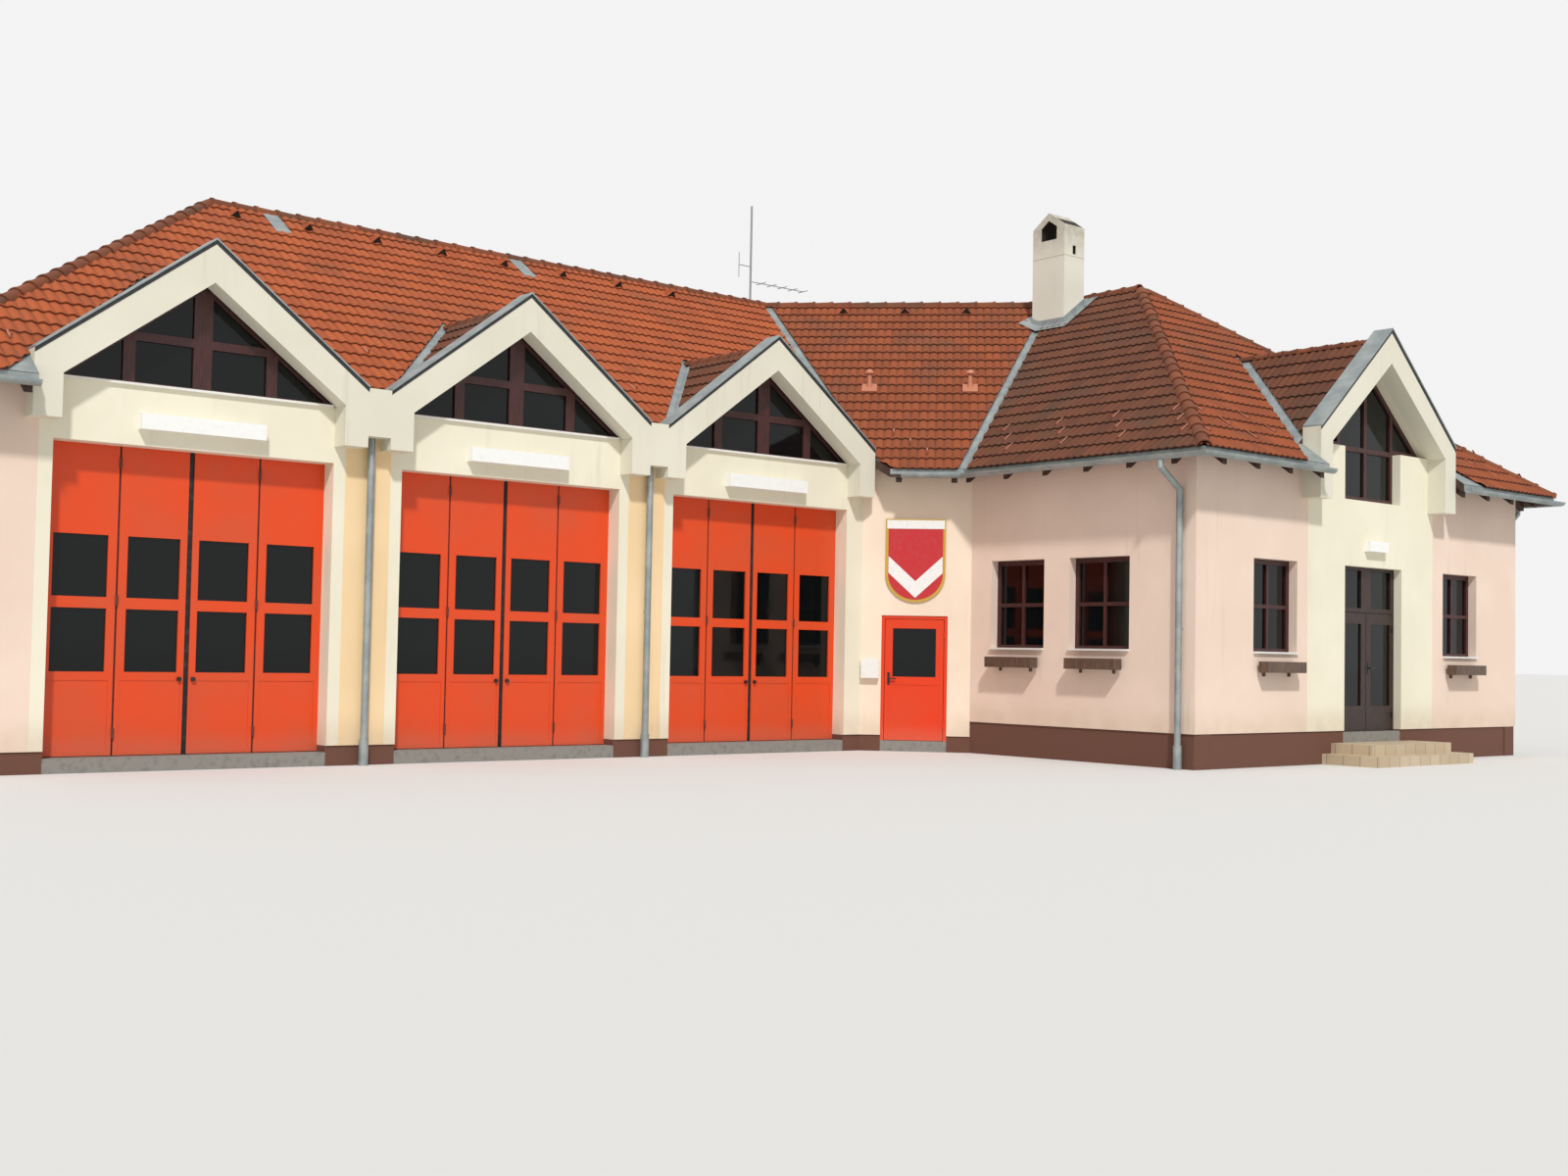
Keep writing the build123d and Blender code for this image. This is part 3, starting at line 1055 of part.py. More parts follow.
def antenna():
    """A mast beside the hall's ridge tiles, with a dipole on an arm and a boom with cross rods."""
    x = RIDGE_BEND[0] - MAST_FROM_BEND
    y = RIDGE_Y + RIDGE_TILE_RADIUS + MAST_RADIUS + MAST_GAP
    body = rod((x, y, ROOF_AT_WALL), (0, 0, 1), MAST_TOP - ROOF_AT_WALL, MAST_RADIUS)
    body -= space_under(HALL_BACK, x, y, 2 * MAST_RADIUS)
    body += rod((x, y, ARM_AT), (-1, 0, 0), ARM_LENGTH, ROD_RADIUS)
    body += rod((x - ARM_LENGTH, y, ARM_AT - DIPOLE / 2), (0, 0, 1), DIPOLE, ROD_RADIUS)
    body += rod((x, y, BOOM_AT), (1, 0, 0), BOOM_LENGTH, ROD_RADIUS)
    for number in range(1, BOOM_RODS + 1):
        rod_x = x + (BOOM_LENGTH - 2 * ROD_RADIUS) * number / BOOM_RODS
        body += rod((rod_x, y - BOOM_ROD / 2, BOOM_AT), (0, 1, 0), BOOM_ROD, ROD_RADIUS)
    add("antenna", FRONT_OF_HALL, body)


floors()
hall_walls()
link_walls()
wing_walls()
gable_frames()
gable_windows()
dormer_window()
roofs()
all_rafter_tails()
gutters()
downpipes()
ridge_tiles()
for gate_centre in GATE_CENTRES:
    folding_gate(gate_centre)
side_door()
entrance()
entrance_steps()
lights()
shield_board()
mailbox()
chimney()
roof_vents()
roof_hatches()
antenna()

for name, solids in NODES.items():
    whole = Compound(children=solids) if len(solids) > 1 else solids[0]
    export_step(whole, "parts/" + name + ".step")
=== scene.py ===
from math import ceil, cos, floor, pi, radians, sin

import bmesh
import bpy
from mathutils import Matrix, Vector


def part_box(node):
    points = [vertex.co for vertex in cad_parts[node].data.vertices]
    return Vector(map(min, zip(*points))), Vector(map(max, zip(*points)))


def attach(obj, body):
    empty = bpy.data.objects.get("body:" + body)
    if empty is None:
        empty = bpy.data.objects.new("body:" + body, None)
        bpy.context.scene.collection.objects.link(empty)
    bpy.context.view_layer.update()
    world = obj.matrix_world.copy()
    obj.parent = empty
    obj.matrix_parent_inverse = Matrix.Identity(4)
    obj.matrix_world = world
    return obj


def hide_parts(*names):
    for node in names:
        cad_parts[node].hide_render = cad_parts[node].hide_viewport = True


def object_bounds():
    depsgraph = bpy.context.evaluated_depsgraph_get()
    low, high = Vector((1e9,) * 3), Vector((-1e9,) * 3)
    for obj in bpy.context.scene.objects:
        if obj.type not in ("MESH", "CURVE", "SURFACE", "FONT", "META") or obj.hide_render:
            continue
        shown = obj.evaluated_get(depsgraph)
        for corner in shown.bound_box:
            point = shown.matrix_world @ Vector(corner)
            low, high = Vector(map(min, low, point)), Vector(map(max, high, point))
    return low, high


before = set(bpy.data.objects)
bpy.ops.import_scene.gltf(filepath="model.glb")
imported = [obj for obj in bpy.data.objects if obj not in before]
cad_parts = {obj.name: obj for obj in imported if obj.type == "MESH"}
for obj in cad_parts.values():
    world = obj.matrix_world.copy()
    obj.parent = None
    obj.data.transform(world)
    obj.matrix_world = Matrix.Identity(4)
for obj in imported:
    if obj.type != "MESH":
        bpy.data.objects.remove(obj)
cad_low, cad_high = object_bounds()

# Roof tiles: sizes in metres, counts, and how far a tile may lean, in radians
TILE_WIDTH = 0.294
TILE_COURSE = 0.355
TILE_WAVES = 2
TILE_WAVE_STEPS = 6
TILE_WAVE_HEIGHT = 0.022
TILE_LIP = 0.028
TILE_DIP = 0.004
TILE_ROUND = 0.008
TILE_SHADE = 0.045
TILE_LIFT = 0.012
TILE_LAP = 0.004
TILE_OVERHANG = 0.035
TILE_LEAN = 0.006

# Ridge and hip tiles
RIDGE_PITCH = 0.36
RIDGE_LENGTH = 0.41
RIDGE_WIDE = 0.125
RIDGE_NARROW = 0.100
RIDGE_COLLAR = 0.05
RIDGE_COLLAR_SLOPE = 0.006
RIDGE_COLLAR_RISE = 0.012
RIDGE_STEPS = 8
RIDGE_SKIN = 0.018
RIDGE_SINK = 0.03
GABLE_RIDGE_SCALE = 0.8

# Sheet metal on the roof
VALLEY_WIDTH = 0.08
VALLEY_LAP = 0.05
VALLEY_LIFT = 0.008
ABOVE_TILES = 0.068
# The dark strip under each gable's capping is painted shadow: its depth and how far it stands out
CAPPING_SHADOW_DEPTH = 0.045
CAPPING_SHADOW_THICK = 0.004
APRON_DROP = 0.085
APRON_THICK = 0.004
FLASHING_STEPS = 8
# How far each edge of the chimney's flashing stands out from the chimney, and its height on the roof
FLASHING_EDGES = ((0.012, 0.16), (0.015, ABOVE_TILES), (0.19, ABOVE_TILES))

# Snow hooks, hoods and vent bases
HOOK_GROUP = 4
HOOK_WIDTH = 0.028
HOOK_UP_TILE = 0.10
HOOK_MARGIN = 0.35
# A hook's side view: how far up the slope, and how high over the tile
HOOK_SIDES = ((0, 0), (0, 0.075), (0.008, 0.075), (0.010, 0.012), (0.22, 0.004), (0.22, 0))
HOOD_WIDTH = 0.20
HOOD_HEIGHT = 0.13
HOOD_LENGTH = 0.30
HOOD_SPACING = 1.21
# Each row of hoods: its roof, how far from the roof's left end it starts, and its count
HOOD_ROWS = (("hall_roof_front", 6.0, 8), ("link_roof_front", 1.6, 3))
VENT_BASE_HALF = 0.135
VENT_BASE_BELOW = 0.16
VENT_BASE_ABOVE = 0.14
VENT_BASE_HEIGHT = 0.062

# Walls
LEG_HALF = 0.1675
HALL_FLOOR = 0.18
HALL_PLINTH_TOP = 0.27
WING_PLINTH_TOP = 0.525
PLINTH_EDGE = 0.004
SPLASH_HEIGHT = 0.5
CHIMNEY_JOINT_BELOW_TOP = 0.87
CHIMNEY_JOINT_HALF = 0.008
CHIMNEY_WEATHER_FROM = 1.1
CHIMNEY_WEATHER_TO = 0.1
SOOT_DEPTH = 0.12
SOOT_INSET = 0.02

# Gate fittings
DRUM_STEPS = 12
KNUCKLE_HEIGHTS = (0.22, 1.87, 3.58)
KNUCKLE_ASIDE = 0.9
KNUCKLE_PROUD = 0.012
KNUCKLE_RADIUS = 0.017
KNUCKLE_LENGTH = 0.13
KNOB_HEIGHT = 0.96
KNOB_ASIDE = 0.09
KNOB_RADIUS = 0.028
KNOB_LENGTH = 0.035
GATE_DUST_HEIGHT = 0.35

# Shield, on the link's wall at 45 degrees
LINK_TURN = radians(45)
SHIELD_STEPS = 24
SHIELD_BOARD = 0.03
SHIELD_ROUND = 0.475
SHIELD_RIM = 0.045
SHIELD_HEADER = 0.165
SHIELD_HEADER_INSET = 0.02
CHEVRON_INSET = 0.05
CHEVRON_ABOVE_ROUND = 0.30
CHEVRON_DROP = 0.42
CHEVRON_DEPTH = 0.28
# Where each layer of paint starts and ends in front of the board
RIM_LAYER = (0.001, 0.004)
FIELD_LAYER = (0.004, 0.009)
HEADER_LAYER = (0.009, 0.014)
CHEVRON_LAYER = (0.009, 0.012)

# Light and camera: the photograph's viewpoint, in metres and degrees
FLOOR_REACH = 400.0
SUN_TOWARD = (-0.38, -0.58, 0.72)
SUN_STRENGTH = 2.3
SUN_WIDTH = 4
SURROUND_ON_OBJECT = 0.55
SURROUND_SEEN = 0.9
CAMERA_PLACE = (-17.506, -23.546, 1.593)
CAMERA_YAW = 39.66
CAMERA_PITCH = 2.228
CAMERA_ROLL = 1.045
CAMERA_LENS = 39.22

# Bounds for reading the frame
SAME_POINT = 0.003
UPWARD = 0.3
CLUSTER_GAP = 1.0
SMOOTH_UNDER = radians(40)

CREAM, PEACH, PINK, PALE_PEACH = "#F0EAD4", "#F6D9AC", "#F0D9C8", "#F6E2CC"
GABLE_FRAMES = ("gable_frame_1", "gable_frame_2", "gable_frame_3", "entrance_gable_frame")
LONG_SLOPES = ("hall_roof_front", "hall_roof_back", "hall_roof_end", "link_roof_front", "link_roof_back",
               "wing_roof_left", "wing_roof_right", "wing_roof_front")
ROOF_NODES = (*LONG_SLOPES, "gable_roofs")
# Sockets of a Mix node in colour mode, whose names other modes share
SHARE, UNDER, OVER, MIXED = 0, 6, 7, 2


# Colours and nodes
def colour(code):
    """An sRGB hex value as linear red, green and blue, with full alpha."""
    parts = [int(code[start:start + 2], 16) / 255 for start in (1, 3, 5)]
    linear = [p / 12.92 if p <= 0.04045 else ((p + 0.055) / 1.055) ** 2.4 for p in parts]
    return (*linear, 1.0)


def put(tree, kind, inputs=None, **properties):
    """Adds a node with its properties, and each input set to a value or linked to a socket."""
    made = tree.nodes.new(kind)
    for name, value in properties.items():
        setattr(made, name, value)
    for key, value in (inputs or {}).items():
        if isinstance(value, bpy.types.NodeSocket):
            tree.links.new(value, made.inputs[key])
        else:
            made.inputs[key].default_value = value
    return made


def start_material(name, **sockets):
    """A material, its tree, its shader and the place on the object."""
    material = bpy.data.materials.new(name)
    material.use_nodes = True
    tree = material.node_tree
    shader = tree.nodes["Principled BSDF"]
    for key, value in sockets.items():
        shader.inputs[key.replace("_", " ")].default_value = value
    place = put(tree, "ShaderNodeTexCoord").outputs["Object"]
    return material, tree, shader, place


# Effects that finishes share
def patches(tree, place, size, low, high, detail=3.0, stretch=(1, 1, 1)):
    """Soft patches about this many metres across: 0 off them and 1 on them."""
    scale = tuple(part / size for part in stretch)
    mapped = put(tree, "ShaderNodeMapping", {"Vector": place, "Scale": scale}).outputs["Vector"]
    spread = put(tree, "ShaderNodeTexNoise", {"Vector": mapped, "Scale": 1.0, "Detail": detail})
    return put(tree, "ShaderNodeMapRange",
               {"Value": spread.outputs["Fac"], "From Min": low, "From Max": high},
               interpolation_type="SMOOTHSTEP").outputs["Result"]


def by_height(tree, place, start, end):
    """0 at the start height, 1 at the end height and smooth between, whichever is the higher."""
    height = put(tree, "ShaderNodeSeparateXYZ", {"Vector": place}).outputs["Z"]
    return put(tree, "ShaderNodeMapRange", {"Value": height, "From Min": start, "From Max": end},
               interpolation_type="SMOOTHSTEP").outputs["Result"]


def coated(tree, paint, mask, code, share=1.0):
    """A paint with another colour over it where the mask is, by a share."""
    cover = put(tree, "ShaderNodeMath", {0: mask, 1: share}, operation="MULTIPLY").outputs[0]
    return put(tree, "ShaderNodeMix", {SHARE: cover, UNDER: paint, OVER: colour(code)},
               data_type="RGBA").outputs[MIXED]


def uneven(tree, shader, place, size, depth, strength, detail=3.0):
    """Gives a surface bumps of this size and depth."""
    bumps = put(tree, "ShaderNodeTexNoise", {"Vector": place, "Scale": 1 / size, "Detail": detail})
    relief = put(tree, "ShaderNodeBump",
                 {"Height": bumps.outputs["Fac"], "Distance": depth, "Strength": strength})
    tree.links.new(relief.outputs["Normal"], shader.inputs["Normal"])


# Finishes
def painted_render(name, base, bands=(), plinth=None):
    """Lime-cement render, trowelled and painted: matt, with faint clouding and rain streaks.
    Bands are (lowest x, highest x, colour) over the base, and plinth is the height of the dark foot."""
    material, tree, shader, place = start_material(name, Roughness=0.92)
    along = put(tree, "ShaderNodeSeparateXYZ", {"Vector": place}).outputs["X"]
    paint = colour(base)
    for low, high, code in bands:
        band = put(tree, "ShaderNodeMath", {0: along, 1: (low + high) / 2, 2: (high - low) / 2},
                   operation="COMPARE").outputs[0]
        paint = coated(tree, paint, band, code)
    clouds = patches(tree, place, size=1.3, low=0.35, high=0.75)
    clouded = put(tree, "ShaderNodeHueSaturation", {"Color": paint, "Value": 0.93, "Saturation": 1.06})
    paint = put(tree, "ShaderNodeMix", {SHARE: clouds, UNDER: clouded.outputs["Color"], OVER: paint},
                data_type="RGBA").outputs[MIXED]
    streaks = patches(tree, place, size=0.16, low=0.60, high=0.85, detail=2.0, stretch=(1, 1, 0.08))
    paint = coated(tree, paint, streaks, "#9A8D78", share=0.22)
    if plinth is not None:
        splash = by_height(tree, place, plinth + SPLASH_HEIGHT, plinth)
        spots = put(tree, "ShaderNodeTexNoise", {"Vector": place, "Scale": 1 / 0.3, "Detail": 3.0})
        dusty = put(tree, "ShaderNodeMath", {0: spots.outputs["Fac"], 1: 0.8}, operation="MULTIPLY")
        paint = coated(tree, paint, splash, "#CDB79C", share=dusty.outputs[0])
        foot = by_height(tree, place, plinth + PLINTH_EDGE, plinth - PLINTH_EDGE)
        paint = coated(tree, paint, foot, "#6A4638")
    tree.links.new(paint, shader.inputs["Base Color"])
    # The grain of the render is 1 to 2 mm, drawn at 12 mm so that it shows
    uneven(tree, shader, place, size=0.012, depth=0.0025, strength=0.5, detail=2.0)
    return material


def sooted_render(name, code, low, high):
    """Render on a chimney: weathered towards the top, a fine joint round it and soot in its mouth."""
    material = painted_render(name, code)
    tree = material.node_tree
    shader = tree.nodes["Principled BSDF"]
    paint = shader.inputs["Base Color"].links[0].from_socket
    place = put(tree, "ShaderNodeTexCoord").outputs["Object"]
    axes = put(tree, "ShaderNodeSeparateXYZ", {"Vector": place}).outputs
    middle, half = (low + high) / 2, (high - low) / 2
    weather = by_height(tree, place, high.z - CHIMNEY_WEATHER_FROM, high.z - CHIMNEY_WEATHER_TO)
    spots = put(tree, "ShaderNodeTexNoise", {"Vector": place, "Scale": 1 / 0.12, "Detail": 5.0})
    paint = coated(tree, paint, weather, "#8C8470", share=spots.outputs["Fac"])
    joint = put(tree, "ShaderNodeMath", {0: axes["Z"], 1: high.z - CHIMNEY_JOINT_BELOW_TOP,
                                         2: CHIMNEY_JOINT_HALF}, operation="COMPARE").outputs[0]
    paint = coated(tree, paint, joint, "#BDB5A2")
    across, along = [put(tree, "ShaderNodeMath",
                         {0: axes[axis], 1: middle[axis], 2: half[axis] - SOOT_INSET},
                         operation="COMPARE").outputs[0] for axis in (0, 1)]
    inside = put(tree, "ShaderNodeMath", {0: across, 1: along}, operation="MULTIPLY").outputs[0]
    under = put(tree, "ShaderNodeMath", {0: axes["Z"], 1: high.z - SOOT_DEPTH},
                operation="LESS_THAN").outputs[0]
    paint = coated(tree, paint, inside, "#2A1E17", share=under)
    tree.links.new(paint, shader.inputs["Base Color"])
    return material


def fired_clay(name, light, dark, moss, joints):
    """Engobed clay tiles: matt, each a little different, with growth in patches, and darker under their
    lips
    and in their troughs: painted shade there, with some dirt."""
    material, tree, shader, place = start_material(name, Roughness=0.85)
    tone = put(tree, "ShaderNodeAttribute", attribute_name="tone").outputs["Fac"]
    paint = coated(tree, colour(dark), tone, light)
    growth = patches(tree, place, size=0.9, low=0.46, high=0.74, detail=5.0)
    paint = coated(tree, paint, growth, "#4E4232", share=moss)
    specks = patches(tree, place, size=0.03, low=0.56, high=0.70)
    paint = coated(tree, paint, specks, "#6B4A3A", share=0.25)
    # Painted shade, with some dirt, under each lip, at each tile's head and in the troughs, by the share
    # that joints gives
    shade_and_grime = put(tree, "ShaderNodeAttribute", attribute_name="shade_and_grime").outputs["Fac"]
    paint = coated(tree, paint, shade_and_grime, "#22150F", share=joints)
    tree.links.new(paint, shader.inputs["Base Color"])
    uneven(tree, shader, place, size=0.02, depth=0.002, strength=0.6)
    return material


def zinc(name):
    """Weathered zinc sheet: a dull metal with a grey patina in soft clouds."""
    material, tree, shader, place = start_material(name, Metallic=0.55, Roughness=0.55)
    patina = patches(tree, place, size=0.25, low=0.3, high=0.75, detail=4.0)
    paint = coated(tree, colour("#8E9797"), patina, "#A9B0AE")
    tree.links.new(paint, shader.inputs["Base Color"])
    uneven(tree, shader, place, size=0.2, depth=0.004, strength=0.4)
    return material


def stained_wood(name, code, dark):
    """Softwood under a dark stain: satin, with the grain just showing."""
    material, tree, shader, place = start_material(name, Roughness=0.48)
    grain = patches(tree, place, size=0.02, low=0.3, high=0.7, detail=4.0, stretch=(1, 1, 0.1))
    tree.links.new(coated(tree, colour(dark), grain, code), shader.inputs["Base Color"])
    relief = put(tree, "ShaderNodeBump", {"Height": grain, "Distance": 0.0008, "Strength": 0.5})
    tree.links.new(relief.outputs["Normal"], shader.inputs["Normal"])
    return material


def painted_steel(name, code, worn):
    """Steel sheet with a baked paint: an even satin, faded in clouds and a little dusty at the foot."""
    material, tree, shader, place = start_material(name, Roughness=0.38, Specular_IOR_Level=0.35)
    fade = patches(tree, place, size=0.8, low=0.35, high=0.75)
    paint = coated(tree, colour(code), fade, worn)
    foot = by_height(tree, place, HALL_FLOOR + GATE_DUST_HEIGHT, HALL_FLOOR)
    paint = coated(tree, paint, foot, "#B79A84", share=0.15)
    tree.links.new(paint, shader.inputs["Base Color"])
    # Sheet steel is never quite flat: long waves of a millimetre or so
    uneven(tree, shader, place, size=0.5, depth=0.003, strength=0.35, detail=1.0)
    return material


def window_glass(name):
    """Float glass in front of dark rooms: dark and smooth, with a fine dust film in clouds."""
    material, tree, shader, place = start_material(name, Base_Color=colour("#151A1B"), IOR=1.36,
                                                   Transmission_Weight=0.6)
    film = patches(tree, place, size=0.4, low=0.3, high=0.8, detail=4.0)
    rough = put(tree, "ShaderNodeMapRange", {"Value": film, "To Min": 0.02, "To Max": 0.10})
    tree.links.new(rough.outputs["Result"], shader.inputs["Roughness"])
    return material


def plain(name, code, roughness, spots="#808080", share=0.12, metallic=0.0):
    """Moulded or painted small parts: one colour, a little soiled."""
    material, tree, shader, place = start_material(name, Roughness=roughness, Metallic=metallic)
    soil = patches(tree, place, size=0.08, low=0.45, high=0.8, detail=4.0)
    tree.links.new(coated(tree, colour(code), soil, spots, share), shader.inputs["Base Color"])
    relief = put(tree, "ShaderNodeBump", {"Height": soil, "Distance": 0.0005, "Strength": 0.4})
    tree.links.new(relief.outputs["Normal"], shader.inputs["Normal"])
    return material


def step_tiles(name):
    """Unglazed stoneware: matt beige squares of 300 mm with fine joints of grey mortar."""
    material, tree, shader, place = start_material(name, Roughness=0.7)
    pattern = put(tree, "ShaderNodeTexBrick",
                  {"Vector": place, "Color1": colour("#C9B79C"), "Color2": colour("#BBA78B"),
                   "Mortar": colour("#8C8578"), "Scale": 1.0, "Mortar Size": 0.006,
                   "Brick Width": 0.30, "Row Height": 0.30}, offset=0.0)
    tree.links.new(pattern.outputs["Color"], shader.inputs["Base Color"])
    raised = put(tree, "ShaderNodeMath", {0: 1.0, 1: pattern.outputs["Fac"]}, operation="SUBTRACT")
    relief = put(tree, "ShaderNodeBump",
                 {"Height": raised.outputs[0], "Distance": 0.003, "Strength": 1.0})
    tree.links.new(relief.outputs["Normal"], shader.inputs["Normal"])
    return material


# Meshes
def to_mesh(name, shape):
    """Turns a bmesh into a mesh and frees it."""
    mesh = bpy.data.meshes.new(name)
    shape.to_mesh(mesh)
    shape.free()
    return mesh


def smooth_mesh(name, shape):
    """Turns a bmesh into a mesh that is smooth but for its sharp bends."""
    for face in shape.faces:
        face.smooth = True
    mesh = to_mesh(name, shape)
    mesh.set_sharp_from_angle(angle=SMOOTH_UNDER)
    return mesh


def new_piece(mesh, slot, *materials):
    """A finished mesh as a piece of the building, under the mesh's name."""
    piece = bpy.data.objects.new(mesh.name, mesh)
    bpy.context.scene.collection.objects.link(piece)
    for material in materials:
        mesh.materials.append(material)
    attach(piece, "building")
    return piece


def outward_piece(name, shape, slot, *materials):
    """A bmesh as a piece of the building, with its faces turned outwards."""
    bmesh.ops.recalc_face_normals(shape, faces=shape.faces)
    return new_piece(to_mesh(name, shape), slot, *materials)


def sides_of(points):
    """Each side of a closed outline, as its two ends."""
    return list(zip(points, points[1:] + points[:1]))


def join_rings(shape, near, far, material=0):
    """Faces all the way round between two rings of vertices."""
    for (near_start, near_end), (far_start, far_end) in zip(sides_of(near), sides_of(far)):
        shape.faces.new((near_start, near_end, far_end, far_start)).material_index = material


def add_prism(shape, outline, sweep, material=0):
    """Adds an outline carried along a vector, closed at both ends."""
    near, far = [[shape.verts.new(point + shift) for point in outline] for shift in (Vector(), sweep)]
    join_rings(shape, near, far, material)
    shape.faces.new(near[::-1]).material_index = material
    shape.faces.new(far).material_index = material


def add_drum(shape, centre, radius, length, turn, material=0):
    """Adds a closed cylinder about the turned z axis, starting at its centre point."""
    angles = [2 * pi * step / DRUM_STEPS for step in range(DRUM_STEPS)]
    outline = [centre + turn @ Vector((radius * cos(angle), radius * sin(angle), 0)) for angle in angles]
    add_prism(shape, outline, turn @ Vector((0, 0, length)), material)


# The roof, read from the frame
def top_triangles(name):
    """The upward triangles of a roof node, as lists of three points."""
    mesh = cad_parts[name].data
    return [[mesh.vertices[i].co.copy() for i in face.vertices]
            for face in mesh.polygons if face.normal.z > UPWARD]


def corners_of(name):
    """The different corner points of a roof node's upper faces."""
    found = []
    for point in (point for triangle in top_triangles(name) for point in triangle):
        if all((point - other).length > SAME_POINT for other in found):
            found.append(point)
    return found


def shared_line(a, b):
    """The two ends of the line where two roof nodes meet, the lower one first."""
    common = [p for p in corners_of(a) if any((p - q).length < SAME_POINT for q in corners_of(b))]
    pairs = [(p, q) for p in common for q in common]
    ends = max(pairs, key=lambda pair: (pair[0] - pair[1]).length)
    return sorted(ends, key=lambda point: point.z)


def gable_lines():
    """For each small gable slope, the front and back of its ridge and the foot of its valley."""
    lines = []
    for triangle in top_triangles("gable_roofs"):
        low, *ridge = sorted(triangle, key=lambda point: point.z)
        front, back = sorted(ridge, key=lambda point: point.y)
        lines.append((front, back, low))
    return lines


VALLEYS = [shared_line("link_roof_front", "wing_roof_left"),
           shared_line("hall_roof_front", "link_roof_front")]
VALLEYS += [(foot, back) for front, back, foot in gable_lines()]


def slope_axes(triangle):
    """A slope's directions: to the right seen from outside, up the slope, and out of it."""
    normal = (triangle[1] - triangle[0]).cross(triangle[2] - triangle[0]).normalized()
    if normal.z < 0:
        normal = -normal
    right = Vector((0, 0, 1)).cross(normal).normalized()
    return right, normal.cross(right).normalized(), normal


def surfaces_of(name):
    """The upper faces of a roof node, each as the list of its triangles."""
    surfaces = []
    for triangle in top_triangles(name):
        marks = {tuple(round(part, 4) for part in point) for point in triangle}
        touching = [surface for surface in surfaces if surface[0] & marks]
        surfaces = [surface for surface in surfaces if not surface[0] & marks]
        members = [member for surface in touching for member in surface[1]]
        surfaces.append((marks.union(*(surface[0] for surface in touching)), [triangle, *members]))
    return [triangles for marks, triangles in surfaces]


def by_plane(surfaces):
    """The surfaces that lie in one plane, together."""
    groups = []
    for surface in surfaces:
        normal = slope_axes(surface[0])[2]
        for group in groups:
            other = group[0][0]
            level = abs((surface[0][0] - other[0]).dot(normal)) < SAME_POINT
            if level and (slope_axes(other)[2] - normal).length < SAME_POINT:
                group.append(surface)
                break
        else:
            groups.append([surface])
    return groups


def points_of(surface):
    """All corner points of a surface's triangles."""
    return [point for triangle in surface for point in triangle]


def borders(surface, line):
    """Whether a surface has both ends of a line among its corners."""
    return all(any((corner - end).length < SAME_POINT for corner in points_of(surface)) for end in line)


def away(start, end, inside):
    """The level direction across a line, away from a point at one side of it."""
    across = (end - start).cross(Vector((0, 0, 1))).normalized()
    return -across if (inside - start).dot(across) > 0 else across


def middle_of(points):
    """The mean of some points."""
    return sum(points, Vector()) / len(points)


def valleys_of(surface):
    """The valleys along a surface, each with its start, its end and the level direction across it."""
    return [(start, end, away(start, end, middle_of(points_of(surface))))
            for start, end in VALLEYS if borders(surface, (start, end))]


def clusters(name):
    """The points of a CAD node in groups that stand over a metre apart along x."""
    points = sorted((vertex.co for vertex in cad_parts[name].data.vertices),
                    key=lambda point: point.x)
    groups = [points[:1]]
    for point in points[1:]:
        if point.x - groups[-1][-1].x > CLUSTER_GAP:
            groups.append([])
        groups[-1].append(point)
    return groups


def hatch_places():
    """The lowest and highest corner of each roof hatch."""
    return [[Vector(pick(point[i] for point in group) for i in range(3)) for pick in (min, max)]
            for group in clusters("roof_hatches")]


# Clay tiles
def swept_rows(rows):
    """Faces between rows of points, as a bmesh."""
    shape = bmesh.new()
    rows = [[shape.verts.new(point) for point in row] for row in rows]
    for lower, upper in zip(rows, rows[1:]):
        for step in range(len(lower) - 1):
            shape.faces.new((lower[step], lower[step + 1], upper[step + 1], upper[step]))
    return shape


def tile_mesh():
    """One interlocking tile with its rolls and lower lip, and how much painted shade and dirt each point
    holds.
    """
    steps = TILE_WAVES * TILE_WAVE_STEPS
    head = TILE_COURSE + TILE_LAP
    # Each row of points: how far up the tile, how high, and how much painted shade, with some dirt, it
    # holds
    profile = [(0, -TILE_DIP, 1.0), (0, TILE_LIP - TILE_ROUND, 0.8)]
    for y, shade_and_grime in ((TILE_ROUND, 0.0), (TILE_COURSE - TILE_SHADE, 0.0), (head, 0.9)):
        profile.append((y, TILE_LIP * (head - y) / TILE_COURSE, shade_and_grime))
    waves = [(1 - cos(2 * pi * step / TILE_WAVE_STEPS)) / 2 for step in range(steps + 1)]
    rows = [[(TILE_WIDTH * (step / steps - 0.5), y, TILE_LIFT + base + wave * TILE_WAVE_HEIGHT)
             for step, wave in enumerate(waves)] for y, base, shade_and_grime in profile]
    mesh = to_mesh("tile", swept_rows(rows))
    held = mesh.attributes.new("shade_and_grime", "FLOAT", "POINT")
    for vertex in mesh.vertices:
        row, step = divmod(vertex.index, steps + 1)
        # The troughs at each tile's sides are darkened too: painted shade in the crease, with some dirt
        trough = 0.6 if step % TILE_WAVE_STEPS == 0 else 0.0
        held.data[vertex.index].value = max(profile[row][2], trough)
    return mesh


